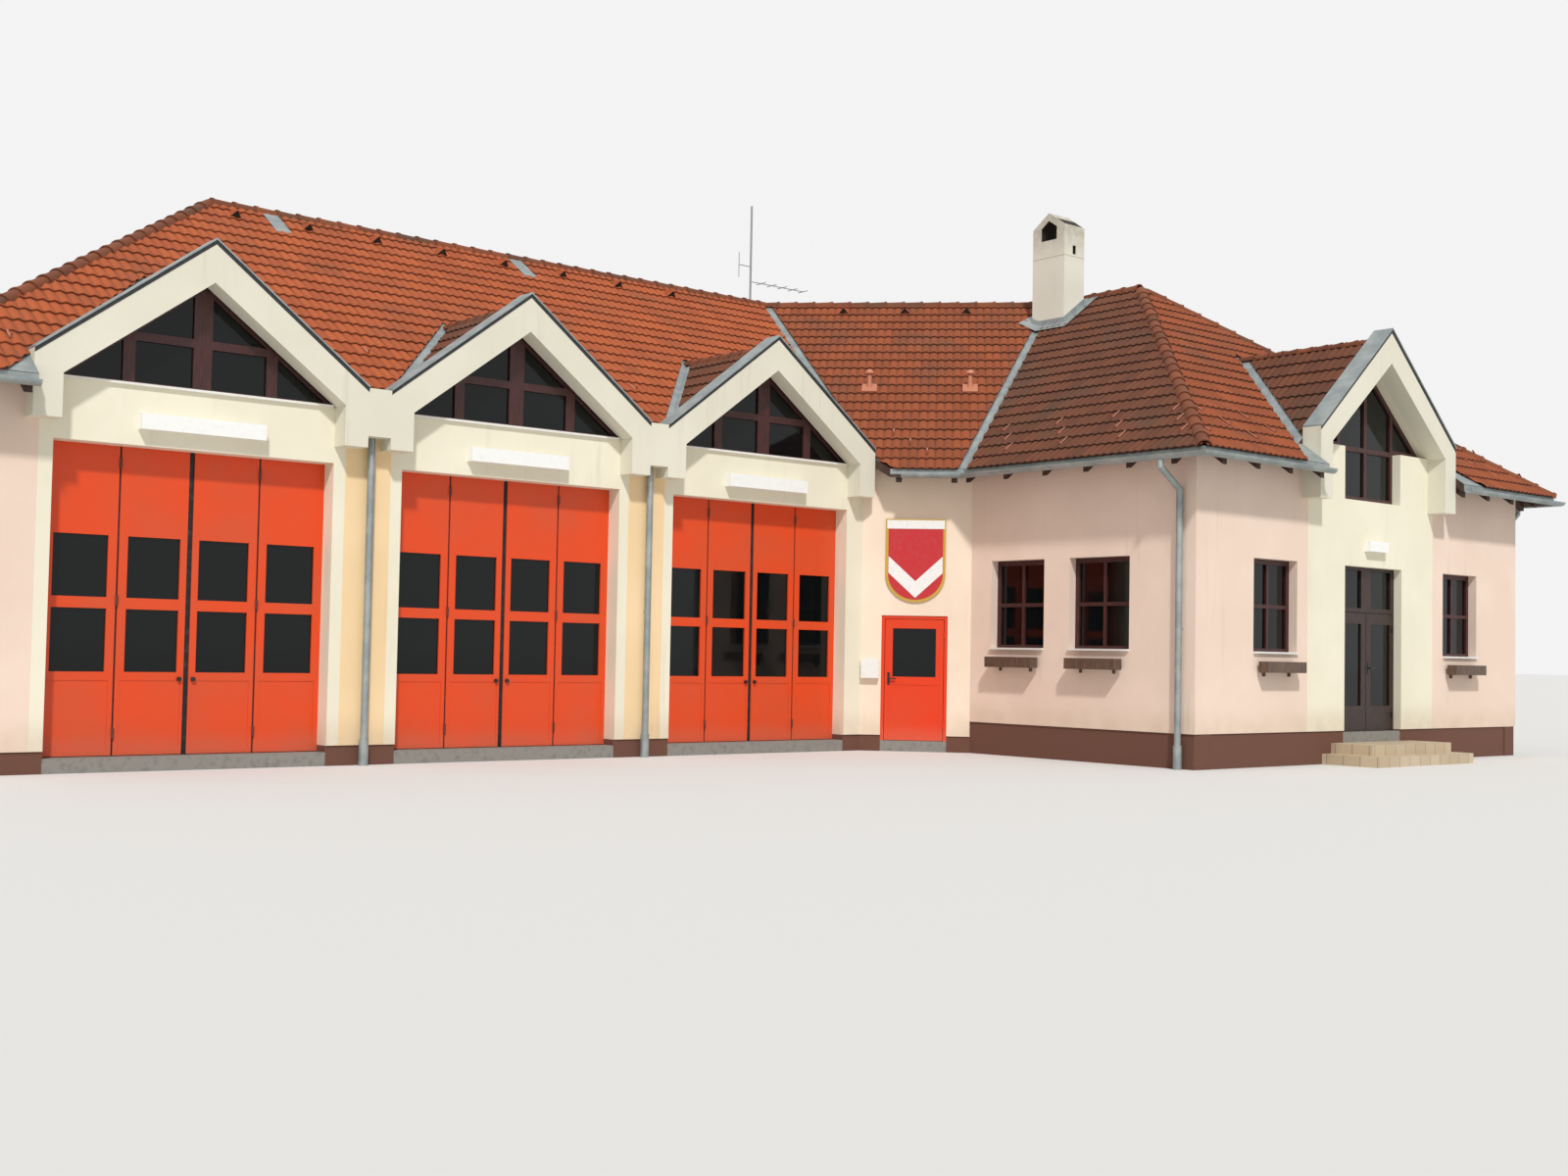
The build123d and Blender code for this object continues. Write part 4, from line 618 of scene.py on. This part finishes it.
def ridge_tile_mesh():
    """One tapered half-round tile with a thick collar, lying along x, its collar first."""
    angles = [pi * step / RIDGE_STEPS for step in range(RIDGE_STEPS + 1)]
    profile = ((0, RIDGE_WIDE - RIDGE_SKIN), (0, RIDGE_WIDE), (RIDGE_COLLAR, RIDGE_WIDE),
               (RIDGE_COLLAR + RIDGE_COLLAR_SLOPE, RIDGE_WIDE - RIDGE_COLLAR_RISE),
               (RIDGE_LENGTH, RIDGE_NARROW))
    shape = swept_rows([[(x, radius * cos(angle), radius * sin(angle)) for angle in angles]
                        for x, radius in profile])
    for face in shape.faces:
        centre = face.calc_center_median()
        if face.normal.dot(Vector((-0.1, centre.y, centre.z))) < 0:
            face.normal_flip()
    return to_mesh("ridge_tile", shape)


REPEAT_INPUTS = (("Columns", "NodeSocketInt"), ("Rows", "NodeSocketInt"), ("Width", "NodeSocketFloat"),
                 ("Course", "NodeSocketFloat"), ("Lean", "NodeSocketFloat"), ("Seed", "NodeSocketInt"),
                 ("Finish", "NodeSocketMaterial"))


def repeat_tree(name):
    """A Geometry Nodes tree that repeats a piece on a grid of points, with its own tone on each."""
    tree = bpy.data.node_groups.new(name, "GeometryNodeTree")
    tree.interface.new_socket("Piece", in_out="INPUT", socket_type="NodeSocketGeometry")
    for label, kind in REPEAT_INPUTS:
        tree.interface.new_socket(label, in_out="INPUT", socket_type=kind)
    tree.interface.new_socket("Pieces", in_out="OUTPUT", socket_type="NodeSocketGeometry")
    inputs = put(tree, "NodeGroupInput").outputs
    spans = []
    for count, pitch in (("Columns", "Width"), ("Rows", "Course")):
        less = put(tree, "ShaderNodeMath", {0: inputs[count], 1: 1.0}, operation="SUBTRACT")
        spans.append(put(tree, "ShaderNodeMath", {0: less.outputs[0], 1: inputs[pitch]},
                         operation="MULTIPLY").outputs[0])
    grid = put(tree, "GeometryNodeMeshGrid", {"Size X": spans[0], "Size Y": spans[1],
                                              "Vertices X": inputs["Columns"],
                                              "Vertices Y": inputs["Rows"]})
    turn = put(tree, "FunctionNodeRandomValue", {"Min": (-1.0, -1.0, -1.0), "Max": (1.0, 1.0, 1.0),
                                                 "Seed": inputs["Seed"]}, data_type="FLOAT_VECTOR")
    lean = put(tree, "ShaderNodeVectorMath", {0: turn.outputs[0], "Scale": inputs["Lean"]},
               operation="SCALE")
    placed = put(tree, "GeometryNodeInstanceOnPoints",
                 {"Points": grid.outputs["Mesh"], "Instance": inputs["Piece"],
                  "Rotation": lean.outputs["Vector"]})
    tone = put(tree, "FunctionNodeRandomValue", {"Seed": inputs["Seed"]}, data_type="FLOAT")
    toned = put(tree, "GeometryNodeStoreNamedAttribute",
                {"Geometry": placed.outputs["Instances"], "Name": "tone", "Value": tone.outputs[1]},
                data_type="FLOAT", domain="INSTANCE")
    real = put(tree, "GeometryNodeRealizeInstances", {"Geometry": toned.outputs["Geometry"]})
    finished = put(tree, "GeometryNodeSetMaterial", {"Geometry": real.outputs["Geometry"],
                                                     "Material": inputs["Finish"]})
    put(tree, "NodeGroupOutput", {"Pieces": finished.outputs["Geometry"]})
    return tree


def repeated(tree, piece, columns, rows, width, course, seed, finish):
    """A plain mesh of a piece repeated on a grid around the origin."""
    values = {"Columns": columns, "Rows": rows, "Width": width, "Course": course, "Lean": TILE_LEAN,
              "Seed": seed, "Finish": finish}
    holder = bpy.data.objects.new("holder", piece)
    bpy.context.scene.collection.objects.link(holder)
    modifier = holder.modifiers.new("repeat", "NODES")
    modifier.node_group = tree
    for item in tree.interface.items_tree:
        if item.name in values:
            modifier[item.identifier] = values[item.name]
    graph = bpy.context.evaluated_depsgraph_get()
    mesh = bpy.data.meshes.new_from_object(holder.evaluated_get(graph))
    bpy.data.objects.remove(holder)
    return mesh


def trim(part, point, outward):
    """Cuts away what lies beyond a point, in this direction."""
    geometry = part.verts[:] + part.edges[:] + part.faces[:]
    bmesh.ops.bisect_plane(part, geom=geometry, plane_co=point, plane_no=outward, clear_outer=True)


def cut_hole(part, low, high):
    """Cuts an upright rectangular hole, given by two plan corners."""
    for point in (low, high):
        for across in (Vector((1, 0, 0)), Vector((0, 1, 0))):
            geometry = part.verts[:] + part.edges[:] + part.faces[:]
            bmesh.ops.bisect_plane(part, geom=geometry, plane_co=point, plane_no=across)
    inside = []
    for face in part.faces:
        centre = face.calc_center_median()
        if low.x < centre.x < high.x and low.y < centre.y < high.y:
            inside.append(face)
    bmesh.ops.delete(part, geom=inside, context="FACES")


def move_into(joined, mesh):
    """Adds a mesh to a bmesh and removes it from the file."""
    joined.from_mesh(mesh)
    bpy.data.meshes.remove(mesh)


def tile_field(group, tree, tile, material, seed):
    """The tiles over the whole extent of some surfaces in one plane, and the height of its eaves."""
    corners = [point for surface in group for point in points_of(surface)]
    right, up, normal = slope_axes(group[0][0])
    origin = min(corners, key=lambda point: point.z)
    across = [(point - origin).dot(right) / TILE_WIDTH for point in corners]
    first, last = floor(min(across)), ceil(max(across))
    rows = ceil(max((point - origin).dot(up) for point in corners) / TILE_COURSE) + 1
    field = repeated(tree, tile, last - first + 1, rows, TILE_WIDTH, TILE_COURSE, seed, material)
    centre = (origin + right * ((first + last) / 2 * TILE_WIDTH)
              + up * ((rows - 1) / 2 * TILE_COURSE - TILE_OVERHANG))
    turn = Matrix((right, up, normal)).transposed().to_4x4()
    field.transform(Matrix.Translation(centre) @ turn)
    return field, origin.z


def lay_tiles(name, node, tree, tile, material, seed):
    """Covers a roof node with tiles, cut to each slope's outline and short of the valleys."""
    joined = bmesh.new()
    for group in by_plane(surfaces_of(node)):
        field, eaves = tile_field(group, tree, tile, material, seed)
        for surface in group:
            right = slope_axes(surface[0])[0]
            ends = sorted(points_of(surface), key=lambda point: point.dot(right))
            strip = bmesh.new()
            strip.from_mesh(field)
            trim(strip, ends[0], -right)
            trim(strip, ends[-1], right)
            covering = to_mesh("covering", strip)
            for triangle in surface:
                part = bmesh.new()
                part.from_mesh(covering)
                for start, end in sides_of(triangle):
                    if max(start.z, end.z) > eaves + SAME_POINT:
                        trim(part, start, away(start, end, middle_of(triangle)))
                for start, end, outward in valleys_of(surface):
                    trim(part, start - outward * VALLEY_WIDTH, outward)
                move_into(joined, to_mesh("cut", part))
            bpy.data.meshes.remove(covering)
        bpy.data.meshes.remove(field)
    if node == "hall_roof_front":
        for low, high in hatch_places():
            cut_hole(joined, low, high)
    new_piece(smooth_mesh(name, joined), "roof_tiles", material)


def lay_ridge(joined, tree, tile, material, low, high, seed, scale=1.0):
    """Half-round tiles from the lower end of a ridge or hip to its upper one."""
    along = (high - low).normalized()
    side = Vector((0, 0, 1)).cross(along).normalized()
    out = along.cross(side)
    count = max(2, round((high - low).length / (RIDGE_PITCH * scale)))
    mesh = repeated(tree, tile, count, 1, RIDGE_PITCH, RIDGE_PITCH, seed, material)
    mesh.transform(Matrix.Translation((((count - 1) / 2) * RIDGE_PITCH, 0, -RIDGE_SINK)))
    mesh.transform(Matrix.Scale(scale, 4))
    mesh.transform(Matrix.Translation(low) @ Matrix((along, side, out)).transposed().to_4x4())
    move_into(joined, mesh)


def ridges(tree, material):
    """All ridge and hip tiles in one piece."""
    tile = ridge_tile_mesh()
    joined = bmesh.new()
    pairs = (("hall_roof_front", "hall_roof_end"), ("hall_roof_back", "hall_roof_end"),
             ("wing_roof_front", "wing_roof_left"), ("wing_roof_front", "wing_roof_right"),
             ("hall_roof_back", "link_roof_back"), ("link_roof_back", "wing_roof_right"),
             ("link_roof_front", "link_roof_back"), ("wing_roof_left", "wing_roof_right"))
    runs = [shared_line(a, b) for a, b in pairs]
    # The hall's ridge lies between the two highest corners of its back slope
    runs.append(sorted(corners_of("hall_roof_back"), key=lambda point: point.z)[-2:])
    for seed, (low, high) in enumerate(runs):
        lay_ridge(joined, tree, tile, material, low, high, seed)
    for seed, (front, back, foot) in enumerate(gable_lines()):
        if foot.x > front.x:
            lay_ridge(joined, tree, tile, material, front, back, seed, GABLE_RIDGE_SCALE)
    piece = new_piece(smooth_mesh("ridge_and_hip_tiles", joined), "ridge_tiles", material)
    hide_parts("ridge_tiles")


# What else lies on the roof
def vent_bases(material):
    """The raised clay tile round the foot of each vent pipe."""
    shape = bmesh.new()
    plane = top_triangles("link_roof_front")[0]
    right, up, normal = slope_axes(plane)
    for group in clusters("roof_vents"):
        foot = middle_of(group)
        level = (foot - plane[0]).dot(normal) / normal.z
        foot = foot - Vector((0, 0, level)) + normal * TILE_LIFT
        outline = [foot + right * x + up * y
                   for x, y in ((-VENT_BASE_HALF, -VENT_BASE_BELOW), (VENT_BASE_HALF, -VENT_BASE_BELOW),
                                (VENT_BASE_HALF, VENT_BASE_ABOVE), (-VENT_BASE_HALF, VENT_BASE_ABOVE))]
        add_prism(shape, outline, normal * VENT_BASE_HEIGHT)
    outward_piece("vent_bases", shape, "roof_tiles", material)


def eaves_aprons(material):
    """The zinc strip from under the lowest tiles down into the gutter."""
    shape = bmesh.new()
    drop = Vector((0, 0, -APRON_DROP))
    for surface in (surface for name in LONG_SLOPES for surface in surfaces_of(name)):
        eaves = min(point.z for point in points_of(surface))
        for triangle in surface:
            for start, end in sides_of(triangle):
                if max(start.z, end.z) < eaves + SAME_POINT:
                    outward = away(start, end, middle_of(triangle)) * APRON_THICK
                    add_prism(shape, [start, end, end + drop, start + drop], outward)
    outward_piece("eaves_aprons", shape, "zinc", material)


def valleys(material):
    """Zinc sheets in the valleys and beside the gables' feet, on the boards and under the tiles."""
    joined = bmesh.new()
    for surface in (surface for name in ROOF_NODES for surface in surfaces_of(name)):
        lift = slope_axes(surface[0])[2] * VALLEY_LIFT
        for start, end, outward in valleys_of(surface):
            sheet = bmesh.new()
            for triangle in surface:
                face = sheet.faces.new([sheet.verts.new(point + lift) for point in triangle])
                face.normal_update()
                if face.normal.z < 0:
                    face.normal_flip()
            trim(sheet, start - outward * (VALLEY_WIDTH + VALLEY_LAP), -outward)
            move_into(joined, to_mesh("sheet", sheet))
    new_piece(to_mesh("valley_sheets", joined), "zinc", material)


def capping_shadow_strips(material):
    """A dark strip under the capping of each gable: painted shadow of the capping."""
    shape = bmesh.new()
    for name in GABLE_FRAMES:
        low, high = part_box(name)
        middle = (low.x + high.x) / 2
        shoulder = max(vertex.co.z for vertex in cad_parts[name].data.vertices
                       if vertex.co.x < low.x + SAME_POINT)
        drop = CAPPING_SHADOW_DEPTH / Vector((middle - low.x, 0, high.z - shoulder)).normalized().x
        for outer in (low.x, high.x):
            outline = [Vector((x, low.y, z)) for x, z in ((outer, shoulder), (middle, high.z),
                                                          (middle, high.z - drop),
                                                          (outer, shoulder - drop))]
            add_prism(shape, outline, Vector((0, -CAPPING_SHADOW_THICK, 0)))
    outward_piece("capping_shadow_strips", shape, "zinc", material)


def on_slope(surface, point, margin):
    """Whether a point lies on a surface in plan, this far from its valleys."""
    if any((point - start).dot(outward) > -margin for start, end, outward in valleys_of(surface)):
        return False
    return any(all((point - start).dot(away(start, end, middle_of(triangle))) < 0
                   for start, end in sides_of(triangle)) for triangle in surface)


def snow_hooks(material):
    """Bent steel hooks that hold the snow, in slanting threes over the lowest rows."""
    shape = bmesh.new()
    for surface in (surface for name in LONG_SLOPES for surface in surfaces_of(name)):
        right, up, normal = slope_axes(surface[0])
        origin = min(points_of(surface), key=lambda point: point.z)
        reach = [(point - origin).dot(right) / TILE_WIDTH for point in points_of(surface)]
        for column in range(floor(min(reach)), ceil(max(reach))):
            row = HOOK_GROUP - 1 - column % HOOK_GROUP
            spot = origin + right * column * TILE_WIDTH + up * (row * TILE_COURSE + HOOK_UP_TILE)
            if row > 0 and on_slope(surface, spot, HOOK_MARGIN):
                tile = spot + normal * (TILE_LIFT + TILE_LIP)
                outline = [tile + up * along + normal * height for along, height in HOOK_SIDES]
                add_prism(shape, outline, right * HOOK_WIDTH)
    outward_piece("snow_hooks", shape, "roof_tiles", material)


def vent_hoods(clay, dark):
    """Small open hoods in a row under the ridges of the hall and the link, their mouths dark with painted
    shade.
    """
    shape = bmesh.new()
    for node, start, count in HOOD_ROWS:
        corners = corners_of(node)
        right, up, normal = slope_axes(top_triangles(node)[0])
        origin = min(corners, key=lambda point: point.z)
        first = min((point - origin).dot(right) for point in corners) + start
        height = max((point - origin).dot(up) for point in corners)
        row = floor(height / TILE_COURSE) - 1
        for number in range(count):
            foot = (origin + right * (first + number * HOOD_SPACING) + up * row * TILE_COURSE
                    + normal * (TILE_LIFT + TILE_LIP))
            points = (foot - right * HOOD_WIDTH / 2, foot + right * HOOD_WIDTH / 2,
                      foot + normal * HOOD_HEIGHT, foot + up * HOOD_LENGTH)
            corner_verts = [shape.verts.new(point) for point in points]
            # The front face, material 1, closes each hood's open mouth in dark: painted shade of its
            # inside
            for indices, material in (((0, 1, 2), 1), ((1, 3, 2), 0), ((0, 2, 3), 0)):
                shape.faces.new([corner_verts[i] for i in indices]).material_index = material
    new_piece(to_mesh("vent_hoods", shape), "roof_tiles", clay, dark)


def flashing(material):
    """The zinc collar and skirt round the chimney's foot."""
    low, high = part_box("chimney")
    centre, size = (low + high) / 2, high - low
    planes = []
    for name in ("link_roof_front", "wing_roof_left"):
        triangle = top_triangles(name)[0]
        planes.append((triangle[0], slope_axes(triangle)[2]))

    def roof_height(x, y):
        return max(p.z - ((x - p.x) * n.x + (y - p.y) * n.y) / n.z for p, n in planes)

    shape = bmesh.new()
    corners = [Vector((x, y)) for x, y in ((low.x, low.y), (high.x, low.y), (high.x, high.y),
                                           (low.x, high.y))]
    around = [start + (end - start) * step / FLASHING_STEPS
              for start, end in sides_of(corners) for step in range(FLASHING_STEPS)]
    rings = []
    for grow, rise in FLASHING_EDGES:
        ring = []
        for spot in around:
            x = centre.x + (spot.x - centre.x) * (1 + 2 * grow / size.x)
            y = centre.y + (spot.y - centre.y) * (1 + 2 * grow / size.y)
            ring.append(shape.verts.new((x, y, roof_height(x, y) + rise)))
        rings.append(ring)
    for upper, lower in zip(rings, rings[1:]):
        join_rings(shape, upper, lower)
    outward_piece("chimney_flashing", shape, "zinc", material)


# Fittings
def gate_fittings(dark, steel):
    """Hinge knuckles at the leaf joints and round knobs beside the middle seal."""
    shape = bmesh.new()
    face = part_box("gate_leaves")[0].y
    upright = Matrix.Identity(3)
    outward = Matrix.Rotation(radians(90), 3, "X")
    for name in GABLE_FRAMES[:3]:
        low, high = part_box(name)
        centre = (low.x + high.x) / 2
        for side in (-1, 1):
            for height in KNUCKLE_HEIGHTS:
                place = Vector((centre + side * KNUCKLE_ASIDE, face - KNUCKLE_PROUD, HALL_FLOOR + height))
                add_drum(shape, place, KNUCKLE_RADIUS, KNUCKLE_LENGTH, upright, material=0)
            place = Vector((centre + side * KNOB_ASIDE, face, HALL_FLOOR + KNOB_HEIGHT))
            add_drum(shape, place, KNOB_RADIUS, KNOB_LENGTH, outward, material=1)
    new_piece(to_mesh("gate_fittings", shape), "rubber_seal", steel, dark)


def shield_outline(half, top, straight, foot, inset=0.0):
    """A shield's outline, drawn in by an inset."""
    points = [(inset, top - inset), (2 * half - inset, top - inset)]
    for step in range(SHIELD_STEPS + 1):
        angle = pi * step / SHIELD_STEPS
        points.append((half + (half - inset) * cos(angle),
                       straight - (straight - foot - inset) * sin(angle)))
    return points


def shield(gold, red, white):
    """A gold rim, a blank white header and a white chevron on a red field."""
    low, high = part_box("shield_board")
    along = Vector((cos(LINK_TURN), -sin(LINK_TURN), 0))
    out = Vector((-sin(LINK_TURN), -cos(LINK_TURN), 0))
    thick = SHIELD_BOARD * cos(LINK_TURN)
    width = (high.x - low.x - thick) / cos(LINK_TURN)
    start = Vector((low.x, high.y - thick, 0))
    half, top, foot = width / 2, high.z, low.z
    straight = foot + SHIELD_ROUND
    shape = bmesh.new()

    def plate(points, layer, material):
        near, far = [[shape.verts.new(start + along * x + out * depth + Vector((0, 0, z)))
                      for x, z in points] for depth in layer]
        join_rings(shape, near, far, material)
        shape.faces.new(far).material_index = material

    plate(shield_outline(half, top, straight, foot), RIM_LAYER, 0)
    plate(shield_outline(half, top, straight, foot, SHIELD_RIM), FIELD_LAYER, 1)
    left, right = SHIELD_HEADER_INSET, width - SHIELD_HEADER_INSET
    head, under = top - SHIELD_HEADER_INSET, top - SHIELD_HEADER
    plate([(left, head), (right, head), (right, under), (left, under)], HEADER_LAYER, 2)
    left, right = CHEVRON_INSET, width - CHEVRON_INSET
    head = straight + CHEVRON_ABOVE_ROUND
    under, tip = head - CHEVRON_DEPTH, head - CHEVRON_DROP
    plate([(left, head), (half, tip), (right, head), (right, under), (half, tip - CHEVRON_DEPTH),
           (left, under)], CHEVRON_LAYER, 2)
    outward_piece("shield_face", shape, "shield_paint", gold, red, white)


def paint(material, *names):
    """Gives CAD nodes a finish."""
    for name in names:
        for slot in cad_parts[name].material_slots:
            slot.material = material


def cream_band(frame_node):
    """The band under a gable frame, as far as the middle of its legs."""
    low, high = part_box(frame_node)
    return low.x + LEG_HALF, high.x - LEG_HALF, CREAM


def paint_walls():
    """Cream under the gables, peach between the gates and pink elsewhere."""
    first, second, third = [cream_band(name) for name in GABLE_FRAMES[:3]]
    left = (cad_low.x - 1, first[0], PINK)
    right = (third[0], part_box("hall_front_piers")[1].x + 1, CREAM)
    paint(painted_render("hall_render", PEACH, (left, first, second, third, right), HALL_PLINTH_TOP),
          "hall_front_piers", "hall_front_head")
    paint(painted_render("hall_end_render", PINK, (), HALL_PLINTH_TOP), "hall_left_wall",
          "hall_back_wall", "link_back_wall")
    paint(painted_render("link_render", PALE_PEACH, (), HALL_PLINTH_TOP), "side_door_piers",
          "side_door_head")
    paint(painted_render("wing_render", PINK, (), WING_PLINTH_TOP), "wing_side_wall", "wing_right_wall")
    paint(painted_render("wing_front_render", PINK, [cream_band("entrance_gable_frame")],
                         WING_PLINTH_TOP), "wing_front_piers", "wing_front_head")
    paint(painted_render("frame_render", "#E4E0CE"), *GABLE_FRAMES, "valley_panels")
    paint(sooted_render("chimney_render", "#ECE9DA", *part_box("chimney")), "chimney")


def paint_fittings(sheet):
    """Finishes of the gates, doors, windows and metalwork."""
    paint(sheet, "gutters", "downpipes", "gable_cappings", "roof_hatches")
    paint(painted_steel("gate_red", "#E04A1C", "#D4502A"), "gate_leaves")
    paint(painted_steel("door_red", "#E23C12", "#D8451F"), "side_door_leaf", "side_door_frame")
    paint(plain("seal_rubber", "#0E0E0F", 0.75), "gate_seals")
    paint(stained_wood("window_wood", "#4A211E", "#2E1513"), "window_frames", "gable_windows")
    paint(stained_wood("door_wood", "#3B2620", "#251612"), "entrance_frame", "entrance_leaf_left",
          "entrance_leaf_right")
    paint(stained_wood("eaves_wood", "#4B2F22", "#33201A"), "rafter_tails", *ROOF_NODES)
    paint(window_glass("room_glass"), "window_glass", "gable_window_glass", "gate_glass",
          "side_door_glass", "entrance_glass_left", "entrance_glass_right")
    paint(plain("sill_paint", "#E9E7E0", 0.45), "window_sills")
    paint(plain("handle_plastic", "#141414", 0.4), "side_door_handle", "entrance_handle")
    paint(stained_wood("flower_box_wood", "#6A5343", "#4C392E"), "flower_boxes")
    paint(plain("opal_cover", "#F4F4F0", 0.35, "#B0AEA6"), "light_boxes")
    paint(plain("board_edge", "#B99A3D", 0.4), "shield_board")
    paint(plain("mailbox_white", "#ECEAE4", 0.4), "mailbox")
    paint(plain("floor_concrete", "#8A8780", 0.85, "#5C5A55", 0.5), "floor_slabs")
    paint(step_tiles("step_stoneware"), "entrance_steps")
    paint(plain("vent_clay", "#C98468", 0.6), "roof_vents")
    paint(plain("mast_steel", "#9AA0A2", 0.4, metallic=0.8), "antenna")


def dress_roof(sheet):
    """Tiles, ridges, valleys and flashing."""
    tree = repeat_tree("repeat_on_grid")
    tile = tile_mesh()
    # The last number of each clay is its share of painted shade, with some dirt, under the lips and in
    # the troughs
    orange = fired_clay("clay_orange", "#B45828", "#A34D23", 0.25, 0.6)
    russet = fired_clay("clay_russet", "#994B22", "#87411D", 0.35, 0.75)
    # The wing's left slope and the small gable slopes take a darker brown clay: partly the tiles' own
    # browner colour, partly painted shade of slopes turned away from the light
    shaded_brown = fired_clay("clay_brown_in_shade", "#703C20", "#5D311A", 0.45, 0.75)
    clays = {"link_roof_front": russet, "wing_roof_front": russet, "wing_roof_left": shaded_brown,
             "gable_roofs": shaded_brown}
    for seed, node in enumerate(ROOF_NODES):
        name = "tiles_" + node.replace("_roof", "").replace("gables", "gable")
        lay_tiles(name, node, tree, tile, clays.get(node, orange), seed)
    ridges(tree, fired_clay("clay_ridge", "#864829", "#683721", 0.6, 0.0))
    valleys(sheet)
    eaves_aprons(sheet)
    vent_bases(plain("base_clay", "#C07A5C", 0.7))
    # Painted shadow under each gable's capping
    capping_shadow_strips(plain("capping_shadow_paint", "#26282A", 0.5))
    snow_hooks(plain("hook_paint", "#B4705A", 0.5))
    # The hoods' mouths are painted shade
    vent_hoods(orange, plain("hood_mouth_shade", "#241812", 0.9))
    flashing(sheet)


# Stage, light and camera
def stage_floor():
    """A plain pale floor that keeps the object's shadow."""
    shape = bmesh.new()
    corners = ((-1, -1), (1, -1), (1, 1), (-1, 1))
    shape.faces.new([shape.verts.new((x * FLOOR_REACH, y * FLOOR_REACH, 0)) for x, y in corners])
    stage = bpy.data.objects.new("stage_floor", to_mesh("stage_floor", shape))
    bpy.context.scene.collection.objects.link(stage)
    stage.data.materials.append(start_material("stage_floor", Roughness=0.9,
                                               Base_Color=colour("#DEDDDA"))[0])


def studio_light():
    """A pale surround and one broad key light from the front left."""
    world = bpy.data.worlds.new("studio")
    world.use_nodes = True
    tree = world.node_tree
    tree.nodes.clear()
    path = put(tree, "ShaderNodeLightPath").outputs
    seen = put(tree, "ShaderNodeMath", {0: path["Is Camera Ray"], 1: path["Is Transmission Ray"]},
               operation="MAXIMUM")
    seen = put(tree, "ShaderNodeMath", {0: seen.outputs[0], 1: path["Is Glossy Ray"]},
               operation="MAXIMUM")
    strength = put(tree, "ShaderNodeMapRange", {"Value": seen.outputs[0], "To Min": SURROUND_ON_OBJECT,
                                                "To Max": SURROUND_SEEN})
    back = put(tree, "ShaderNodeBackground", {"Color": colour("#FFFFFF"),
                                              "Strength": strength.outputs["Result"]})
    put(tree, "ShaderNodeOutputWorld", {"Surface": back.outputs["Background"]})
    bpy.context.scene.world = world
    lamp = bpy.data.lights.new("key", "SUN")
    lamp.energy = SUN_STRENGTH
    lamp.angle = radians(SUN_WIDTH)
    key = bpy.data.objects.new("key", lamp)
    bpy.context.scene.collection.objects.link(key)
    key.rotation_mode = "QUATERNION"
    key.rotation_quaternion = Vector(SUN_TOWARD).to_track_quat("Z", "Y")


def photo_camera():
    """The photograph's viewpoint: where it stood, and its yaw, pitch, roll and lens."""
    yaw, pitch, roll = radians(CAMERA_YAW), radians(CAMERA_PITCH), radians(CAMERA_ROLL)
    forward = Vector((sin(yaw) * cos(pitch), cos(yaw) * cos(pitch), sin(pitch)))
    level = Vector((cos(yaw), -sin(yaw), 0))
    upward = level.cross(forward)
    right = level * cos(roll) + upward * sin(roll)
    up = upward * cos(roll) - level * sin(roll)
    data = bpy.data.cameras.new("photo_camera")
    data.sensor_width = 36.0
    data.lens = CAMERA_LENS
    data.clip_end = 2000
    camera = bpy.data.objects.new("photo_camera", data)
    bpy.context.scene.collection.objects.link(camera)
    turn = Matrix((right, up, -forward)).transposed().to_4x4()
    camera.matrix_world = Matrix.Translation(CAMERA_PLACE) @ turn
    bpy.context.scene.camera = camera


paint_walls()
zinc_sheet = zinc("zinc_sheet")
paint_fittings(zinc_sheet)
dress_roof(zinc_sheet)
gate_fittings(plain("knob_plastic", "#161616", 0.4), plain("hinge_steel", "#5E2A20", 0.5))
shield(plain("gold_paint", "#C9A23C", 0.35), plain("shield_red", "#C4252B", 0.35),
       plain("shield_white", "#F0EEEA", 0.35))
stage_floor()
studio_light()
photo_camera()
bpy.context.scene.view_settings.view_transform = "Standard"
